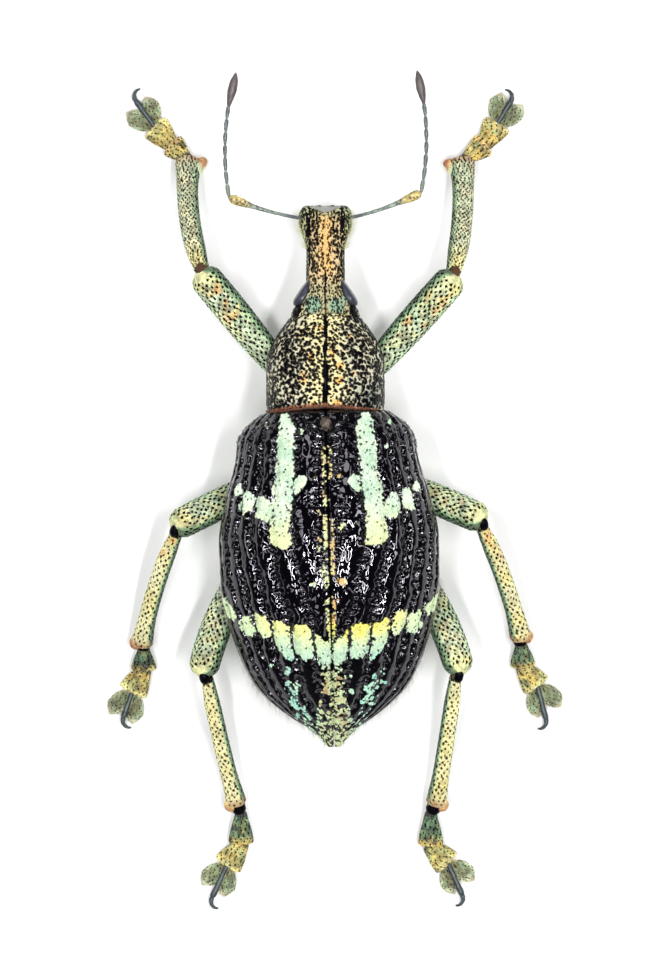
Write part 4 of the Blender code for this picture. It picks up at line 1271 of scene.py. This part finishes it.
# Each leg's side, hip, knee, ankle, the root of its foot and the ends of its two broad joints and
# claws, seen from above, and how far its shin bows outwards
LEGS = {
    "fore_left": (-1, (1.36, 1.01, 2.30), (5.72, 6.32, 4.70), (6.32, 11.62, 0.95),
                  ((6.53, 11.76), (7.13, 12.32), (7.96, 13.19), (9.03, 14.69)), 0.34),
    "fore_right": (1, (1.36, 1.01, 2.30), (5.97, 6.18, 4.70), (6.30, 11.58, 0.95),
                   ((6.67, 11.67), (7.40, 12.36), (8.00, 13.33), (8.80, 14.69)), 0.26),
    "mid_left": (-1, (1.50, -2.58, 2.10), (6.90, -5.35, 4.60), (8.51, -10.89, 0.95),
                 ((8.28, -11.07), (8.42, -12.04), (8.97, -13.10), (9.50, -14.62)), 0.20),
    "mid_right": (1, (1.64, -2.58, 2.10), (7.22, -5.03, 4.60), (9.06, -10.61, 0.95),
                  ((9.02, -10.98), (9.16, -11.90), (9.83, -12.82), (10.32, -14.71)), 0.20),
    "hind_left": (-1, (2.65, -6.00, 2.05), (5.65, -12.13, 4.45), (4.08, -18.27, 0.95),
                  ((3.67, -18.91), (3.90, -20.11), (4.59, -21.13), (5.44, -22.95)), 0.08),
    "hind_right": (1, (2.98, -6.00, 2.05), (6.19, -12.04, 4.45), (5.10, -18.27, 0.95),
                   ((4.54, -18.91), (4.87, -20.20), (5.70, -21.03), (6.51, -22.83)), 0.04),
}
# Each pair's thigh: radius, bow and sag, and its shin's radius
LEG_GIRTHS = {
    "fore": (0.76, 0.00, 0.25, 0.48),
    "mid": (0.72, 0.00, 0.60, 0.39),
    "hind": (0.72, 0.42, 0.60, 0.37),
}
PART_MESHES = {
    "thigh": (56, 120), "coxa": (40, 40), "shin": (48, 130), "first": (40, 36), "second": (40, 36),
    "lobe-1": (36, 36), "lobe1": (36, 36),
}
KNUCKLE_MESH = (24, 24)
FLANGE_MESH = (28, 28)
CLAW_MESH = (20, 40)
LEG_SCALE_SPACING = 0.080
THIGH_SWELL = smooth((0, 0.60), (0.15, 0.72), (0.45, 0.92), (0.75, 0.98), (0.92, 0.96), (1, 0.86))
SHIN_SWELL = smooth((0, 0.62), (0.08, 0.72), (0.3, 0.96), (0.75, 1.0), (0.9, 1.14), (1, 1.30))
FIRST_WIDTH = smooth((0, 0.24), (0.25, 0.34), (0.7, 0.53), (0.88, 0.57), (1, 0.50))
FIRST_HEIGHT = smooth((0, 0.22), (0.5, 0.30), (0.85, 0.33), (1, 0.26))
SECOND_WIDTH = smooth((0, 0.30), (0.25, 0.42), (0.7, 0.62), (0.88, 0.66), (1, 0.58))
SECOND_HEIGHT = smooth((0, 0.24), (0.5, 0.28), (0.85, 0.30), (1, 0.22))
LOBE_WIDTH = smooth((0, 0.22), (0.35, 0.38), (0.7, 0.43), (1, 0.34))
LOBE_HEIGHT = smooth((0, 0.16), (0.4, 0.22), (1, 0.19))
CLAW_JOINT_WIDTH = smooth((0, 0.12), (0.5, 0.105), (0.9, 0.145), (1, 0.12))
CLAW_WIDTH = smooth((0, 0.125), (0.3, 0.10), (0.7, 0.055), (1, 0.015))
COXA_WIDTH = smooth((0, 0.78), (1, 0.78))
COXA_HEIGHT = smooth((0, 0.66), (1, 0.66))
KNUCKLE_WIDTH = smooth((0, 0.22), (1, 0.24))
BALL_WIDTH = smooth((0, 0.34), (0.6, 0.34), (1, 0.24))
FLANGE_WIDTH = smooth((0, 0.50), (0.5, 0.34), (1, 0.14))
FLANGE_HEIGHT = smooth((0, 0.42), (0.5, 0.30), (1, 0.12))
CUFF_WIDTH = smooth((0, 0.30), (0.6, 0.32), (1, 0.22))
JOINT_HEIGHTS = (0.80, 0.50, 0.34, 0.42)
LOBE_REACH = 0.72
LOBE_LENGTH = 1.26
LOBE_SPREAD = math.radians(33)
LOBE_TURN = math.radians(15)
CLAW_LENGTH = 0.80
CLAW_CURL = math.radians(130)
CLAW_STEPS = 24
# Pitch and size of the granules on each part of a leg
THIGH_DOTS = (0.30, 1.04)
FORE_SHIN_DOTS = (0.20, 0.74)
SHIN_DOTS = (0.29, 0.86)
FIRST_DOTS = (0.21, 0.66)
SECOND_DOTS = (0.21, 0.62)
LOBE_DOTS = (0.20, 0.55)
DOT_HALF = np.array((0.070, 0.050, 0.026))
POINTS_AT_ONCE = 4000
SHIN_HAIR_HALF = (0.075, 0.008, 0.008)
SHIN_HAIRS = 500
LOBE_HAIR_HALF = (0.075, 0.007, 0.007)
LOBE_HAIRS = 420
DOT_SHAPE = np.array([
    (reach * math.cos(k * math.tau / 5 + turn), reach * math.sin(k * math.tau / 5 + turn), height)
    for reach, turn, height in ((1.06, 0, -0.6), (0.8, 0.6, 0.6)) for k in range(5)
] + [(0, 0, 1.0)])
DOT_FACES = np.array(
    [(k, (k + 1) % 5, k + 5) for k in range(5)] + [((k + 1) % 5, (k + 1) % 5 + 5, k + 5) for k in range(5)]
    + [(k + 5, (k + 1) % 5 + 5, 10) for k in range(5)] + [(0, 4, 3), (0, 3, 2), (0, 2, 1)]
)
GREEN = paint(142, 184, 136)
PALE_GREEN = paint(208, 222, 186)
DEEP_GREEN = paint(100, 142, 98)
STRAW = paint(240, 226, 152)
PALE_STRAW = paint(240, 234, 190)
LEG_ORANGE = paint(240, 192, 122)
LEG_GOLD = paint(224, 190, 96)
LOBE_OLIVE = paint(160, 158, 106)
RUST = paint(156, 92, 46)
CLAW_TEAL = paint(36, 47, 52)
KNEE_BROWN = paint(70, 50, 36)


def unit(way):
    return way / np.linalg.norm(way)


def dots_over(limb, pitch, size, seed, low=0.04, high=0.96):
    """Places of granules over a limb: slanting rows, each granule drawn out along the limb."""
    ticks = np.linspace(0, 1, 60)
    lines = arc(limb.centre(limb.along(ticks)))
    rows = int(lines[-1] / (pitch * 0.62))
    all_u, all_v = [], []
    for row in range(rows):
        v = np.interp((row + 0.5) / rows * lines[-1], lines, ticks)
        t = limb.along(np.array((v,)))
        count = max(4, round(math.pi * (limb.width(t) + limb.height(t))[0] / pitch))
        number = np.arange(count)
        all_u.append((number + 0.5 * (row % 2) + 0.30 * (chance(number, row, seed) - 0.5)) / count)
        all_v.append(v + 0.30 * (chance(number, row, seed + 1) - 0.5) / rows)
    u, v = np.concatenate(all_u), np.concatenate(all_v)
    keep = (v > low) & (v < high)
    u, v = u[keep], v[keep]
    number = np.arange(len(u))
    half = DOT_HALF * size * (0.8 + 0.4 * chance(number, seed + 2))[:, None]
    return u, v, limb.place(u, v), limb.outward(u, v), limb.ahead(u, v), half


def clear_of(dots, points):
    """How many times a granule's own reach each point lies from the nearest one."""
    _, _, at, _, ahead, half = dots
    nearest = np.empty(len(points))
    for start in range(0, len(points), POINTS_AT_ONCE):
        some = slice(start, start + POINTS_AT_ONCE)
        gap = points[some, None] - at[None]
        lengthwise = np.sum(gap * ahead, axis=2)
        rest = np.clip(np.sum(gap * gap, axis=2) - lengthwise ** 2, 0, None)
        nearest[some] = np.min((lengthwise / half[:, 0]) ** 2 + rest / half[:, 1] ** 2, axis=1)
    return np.sqrt(nearest)


def leg_part(limb, tint, about, dots=None, bald=()):
    """A limb's surface with its marks: its tint's colours, clear of granules and bald places."""

    def marks(u, v, points):
        colour = tint(limb.along(v), u, points, *about)
        cover = np.ones(len(u))
        if dots is not None:
            cover = np.clip((clear_of(dots, points) - 1) / 0.45, 0, 1)
        for place, reach in bald:
            cover = cover * (np.linalg.norm(points - place, axis=1) > reach)
        return cover * (points[:, 2] > 0.07), colour

    return limb, marks


def plain_marks(tint):
    return lambda u, v, points: (np.zeros(len(u)), np.tile(tint, (len(u), 1)))


def top_side(u):
    """From 0 under a limb to 1 along its top."""
    return 0.5 - 0.5 * np.cos(math.tau * u)


def shaded(colour, u, points, inner, amount, mottling=0.55):
    """Mottled, and greener, then darker, towards the sides of a limb, above all its inner side: painted
    shade.
    """
    side = np.sin(math.tau * u)
    edge = np.abs(side) * 0.92 + 0.30 * side * inner
    # Painted shade: greener, then near black, towards the sides of the limb, above all its inner side
    colour = blend(colour, GREEN, amount * ease(0.45, 0.85, edge))
    colour = blend(colour, DEEP_GREEN * 0.3, amount * ease(0.76, 1.04, edge))
    return colour * (0.92 + mottling * (drift(points, 0.13, 205) + 0.5 * drift(points, 0.4, 206)))[:, None]


def thigh_tint(t, u, points, which, inner):
    top = top_side(u)
    warmth = {"fore": 0.9, "mid": 0.4, "hind": 0.3}[which]
    strip = ease(0.70, 0.97, top) * ease(0.40, 0.62, t) * ease(0.97, 0.88, t)
    colour = painted(
        DEEP_GREEN,
        (GREEN, ease(0.0, 0.25, t) + 0.6 * drift(points, 0.5, 201)),
        # The scales' own pale green, and a painted highlight that grows towards the top of the thigh
        (PALE_GREEN, 0.35 + 0.5 * drift(points, 0.6, 202) + 0.6 * ease(0.45, 0.95, top)),
        (LEG_ORANGE, warmth * strip * ease(-0.15, 0.35, drift(points, 0.42, 203))),
        (STRAW, 0.35 * ease(0.0, 0.5, drift(points, 0.5, 204)) + 0.6 * ease(0.88, 0.97, t)),
    )
    return shaded(colour, u, points, inner, 0.85)


def shin_tint(t, u, points, which, inner):
    if which == "fore":
        colour = blend(PALE_GREEN, PALE_STRAW, 0.6 + 0.7 * drift(points, 0.5, 211)) * 0.78
        colour = blend(colour, STRAW, ease(0.30, 0.12, t) * 0.9)
        colour = shaded(colour, u, points, inner, 0.75, 0.5)
    else:
        colour = blend(STRAW, PALE_STRAW, 0.35 + 0.6 * drift(points, 0.6, 212))
        # Painted shade: greener towards the underside of the shin
        colour = blend(colour, GREEN, 0.8 * ease(0.6, 0.3, top_side(u)))
        if which == "mid":
            warmth = ease(0.45, 0.15, t) * ease(0.0, 0.4, drift(points, 0.3, 214))
            colour = blend(colour, LEG_ORANGE, warmth)
        colour = shaded(colour, u, points, inner, 1.0, 0.25)
    return blend(colour, RUST, ease(0.91, 0.98, t) * (0.75 + 0.4 * drift(points, 0.2, 213)))


def flange_tint(t, u, points, which):
    base = PALE_GREEN if which == "fore" else STRAW
    return blend(base, blend(RUST, LEG_ORANGE, 0.25 + drift(points, 0.2, 280)), ease(0.25, 0.7, t))


def foot_tint(t, u, points, which, part):
    if part == "first":
        base, rim = (LEG_GOLD, LEG_ORANGE) if which == "fore" else (DEEP_GREEN * 0.45, LEG_GOLD)
    elif part == "second":
        base, rim = LEG_GOLD, STRAW
    else:
        rim = PALE_GREEN * 0.85
        base = blend(LOBE_OLIVE * 0.45, rim, ease(0.45, 0.95, np.abs(np.sin(math.tau * u))))
    colour = blend(base, GREEN, 0.20 + 0.5 * drift(points, 0.3, 222))
    if part != "lobe":
        colour = blend(colour * 0.12, colour, ease(0.05, 0.22, t))
    colour = blend(colour, rim, ease(0.62, 0.95, t) * 0.85 + 0.3 * drift(points, 0.25, 221))
    patches = ease(0.15, 0.45, drift(points, 0.22, 225)) * (0.8 if part == "first" else 0.35)
    mottling = 0.9 + 0.5 * drift(points, 0.12, 223) + 0.4 * drift(points, 0.3, 224)
    return blend(colour, BLACK, patches) * mottling[:, None]


def leg_relief(u, v, points, cover):
    return 0.008 * drift(points, 0.12, 230) - 0.012 * (1 - cover)


def claw_line(root, way, turning, length):
    """The middle line of a claw that curls ever tighter to one side."""
    places = [root]
    heading = math.atan2(way[1], way[0])
    for i in range(CLAW_STEPS):
        turn = turning * CLAW_CURL * ((i + 0.5) / CLAW_STEPS) ** 1.3
        level = np.array((math.cos(heading + turn), math.sin(heading + turn), -0.12))
        places.append(places[-1] + level * length / CLAW_STEPS)
    places = np.array(places)
    ticks = np.linspace(0, 1, CLAW_STEPS + 1)
    return lambda t: np.stack([np.interp(t, ticks, places[:, k]) for k in range(3)], axis=1)


def away(start, end, side):
    """The level direction square to a limb that points away from the body."""
    along = end - start
    square = unit(np.array((along[1], -along[0], 0.0)))
    return square if square[0] * side > 0 else -square


def claw_marks(u, v, points):
    return np.zeros(len(u)), CLAW_TEAL * (0.8 + 0.5 * drift(points, 0.2, 290))[:, None]


leg_dots, leg_hairs = [], []
for word, (side, hip, knee, ankle, plan, shin_bow) in LEGS.items():
    which = word.split("_")[0]
    thigh_radius, thigh_bow, thigh_sag, shin_radius = LEG_GIRTHS[which]
    hip, knee, ankle = (np.array(place) * (side, 1, 1) for place in (hip, knee, ankle))
    root, first, second, reach = (
        np.array((side * out, ahead, height)) for (out, ahead), height in zip(plan, JOINT_HEIGHTS)
    )
    down, outwards = unit(ankle - knee), away(knee, ankle, side)

    bow = away(hip, knee, side) * thigh_bow - np.array((0, 0, thigh_sag))
    thigh_line = way_between(hip, knee + unit(knee - hip) * 0.10, bow)
    thigh = Limb(thigh_line, lambda t, r=thigh_radius: r * THIGH_SWELL(t), ends=(0.05, 0.075))
    coxa_line = way_between(hip + (0, 0.55, 0.1), hip - (0, 0.55, 0.1))
    coxa = Limb(coxa_line, COXA_WIDTH, COXA_HEIGHT, ends=(0.5, 0.5), crowd=0.0)
    shin_line = way_between(knee - unit(knee - hip) * 0.28, ankle, outwards * shin_bow)
    shin = Limb(shin_line, lambda t, r=shin_radius: r * SHIN_SWELL(t), ends=(0.03, 0.035))
    first_start = root * 0.4 + ankle * 0.6
    second_start = first - (second - first) * 0.16
    joints = {
        "first": Limb(way_between(first_start, first), FIRST_WIDTH, FIRST_HEIGHT, (0.06, 0.08)),
        "second": Limb(way_between(second_start, second), SECOND_WIDTH, SECOND_HEIGHT, (0.06, 0.08)),
    }
    lifted = np.array((second[0], second[1], reach[2]))
    way = unit(reach - lifted)
    middle = unit(unit(second - first) + way)
    heading = math.atan2(middle[1], middle[0])
    for hand in (-1, 1):
        spread, turn = heading + hand * LOBE_SPREAD, heading + hand * LOBE_TURN
        centre = second + np.array((math.cos(spread), math.sin(spread), 0)) * LOBE_REACH
        lie = np.array((math.cos(turn), math.sin(turn), 0)) * LOBE_LENGTH / 2
        low = np.array((centre[0], centre[1], 0.20))
        lobe_line = way_between(low - lie + (0, 0, 0.05), low + lie)
        lobe = Limb(lobe_line, LOBE_WIDTH, LOBE_HEIGHT, (0.35, 0.42), floor=0.004, crowd=0.06)
        joints[f"lobe{hand}"] = lobe

    thigh_dots = dots_over(thigh, *THIGH_DOTS, 240)
    shin_spots, knee_reach, knee_tint = SHIN_DOTS, 0.60, BLACK
    if which == "fore":
        shin_spots, knee_reach, knee_tint = FORE_SHIN_DOTS, 0.46, KNEE_BROWN
    shin_dots = dots_over(shin, *shin_spots, 250, 0.06, 0.93)
    first_dots = dots_over(joints["first"], *FIRST_DOTS, 260)
    second_dots = dots_over(joints["second"], *SECOND_DOTS, 270)
    lobe_dots = [dots_over(joints[f"lobe{hand}"], *LOBE_DOTS, 275 + hand, 0.15, 0.85) for hand in (-1, 1)]
    leg_dots += [thigh_dots, shin_dots, first_dots, second_dots, *lobe_dots]
    inner = -side if which == "fore" else side
    parts = {
        "thigh": leg_part(thigh, thigh_tint, (which, inner), thigh_dots),
        "coxa": leg_part(coxa, thigh_tint, (which, inner)),
        "shin": leg_part(shin, shin_tint, (which, inner), shin_dots, [(knee, knee_reach)]),
        "first": leg_part(joints["first"], foot_tint, (which, "first"), first_dots),
        "second": leg_part(joints["second"], foot_tint, (which, "second"), second_dots),
        "lobe-1": leg_part(joints["lobe-1"], foot_tint, (which, "lobe"), lobe_dots[0]),
        "lobe1": leg_part(joints["lobe1"], foot_tint, (which, "lobe"), lobe_dots[1]),
    }
    made = {key: skin(key, *mesh, dressed(*parts[key], leg_relief)) for key, mesh in PART_MESHES.items()}

    knuckle_line = way_between(knee - down * 0.1, knee + down * 0.60)
    knuckle = Limb(knuckle_line, KNUCKLE_WIDTH, ends=(0.5, 0.5), crowd=0.0)
    ball_line = way_between(ankle - down * 0.3, first_start + (first - first_start) * 0.12)
    ball = Limb(ball_line, BALL_WIDTH, ends=(0.3, 0.3), crowd=0.0)
    if which == "fore":
        flange_root = ankle - down * 0.66 - outwards * 0.02
        flange_line = way_between(flange_root, ankle - down * 0.10 - outwards * 0.80)
        flange = Limb(flange_line, FLANGE_WIDTH, FLANGE_HEIGHT, (0.3, 0.12))
    else:
        flange_root = ankle - down * 0.50 + outwards * 0.08
        flange_line = way_between(flange_root, ankle + down * 0.22 + outwards * 0.40)
        flange = Limb(flange_line, CUFF_WIDTH, ends=(0.3, 0.25))
    parts["flange"] = leg_part(flange, flange_tint, (which,))
    shins = [
        made["shin"],
        skin("knuckle", *KNUCKLE_MESH, bare(plain_marks(knee_tint), knuckle)),
        skin("ball", *KNUCKLE_MESH, bare(plain_marks(BLACK), ball)),
        skin("flange", *FLANGE_MESH, dressed(*parts["flange"], leg_relief)),
    ]

    claw_root = reach - way * 0.36
    last_line = way_between(lifted - way * 0.3, claw_root, (0, 0, 0.10))
    claws = [Limb(last_line, CLAW_JOINT_WIDTH, ends=(0.1, 0.1))]
    turning = side if way[1] > 0 else -side
    for lower in (0, 1):
        start = claw_root - way * 0.1 + (0, 0, 0.05 - 0.19 * lower)
        line = claw_line(start, way, turning, CLAW_LENGTH - 0.06 * lower)
        claws.append(Limb(line, CLAW_WIDTH, ends=(0.12, 0.04), crowd=0.0))
    claw_skins = [skin(f"claw_{k}", *CLAW_MESH, bare(claw_marks, claw)) for k, claw in enumerate(claws)]

    foot = [made[key] for key in ("first", "second", "lobe-1", "lobe1")]
    groups = {
        "femur": (joined(f"thigh_{word}", [made["thigh"], made["coxa"]]), "green_scales"),
        "tibia": (joined(f"shin_{word}", shins), "cream_scales"),
        "tarsus": (joined(f"foot_{word}", foot), "cream_scales"),
    }
    for node, (piece, slot) in groups.items():
        piece.data.materials.clear()
        piece.data.materials.append(satin_cuticle)
        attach(piece, "root")
        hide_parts(f"{node}_{word}")
    piece = joined(f"claws_{word}", claw_skins)
    piece.data.materials.clear()
    piece.data.materials.append(slate_finish)
    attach(piece, "root")
    shelves = len(parts)
    shelved = [
        (*part, leg_relief, (0.02, 0.02 + 0.96 * k / shelves, 0.96, 0.94 / shelves))
        for k, part in enumerate(parts.values())
    ]
    coat(f"scales_{word}", shelved, LEG_SCALE_SPACING, SCALE_HALF * 0.9, 300)
    leg_hairs.append(hairs(shin, SHIN_HAIRS, 310, SHIN_HAIR_HALF, CREAM, 0.5, 0.05, 0.97))
    for hand in (-1, 1):
        leg_hairs.append(hairs(joints[f"lobe{hand}"], LOBE_HAIRS, 320, LOBE_HAIR_HALF, CREAM, 0.6))

u, v, at, outward, ahead, half = gathered(leg_dots)
black, bake = np.tile(BLACK, (len(u), 1)), np.stack((u, v), axis=1)
piece = strewn("granules_legs", DOT_SHAPE, DOT_FACES, at, outward, ahead, half, black, bake)
piece.data.materials.append(satin_cuticle)
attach(piece, "root")
bristly("hairs_legs", *gathered(leg_hairs))
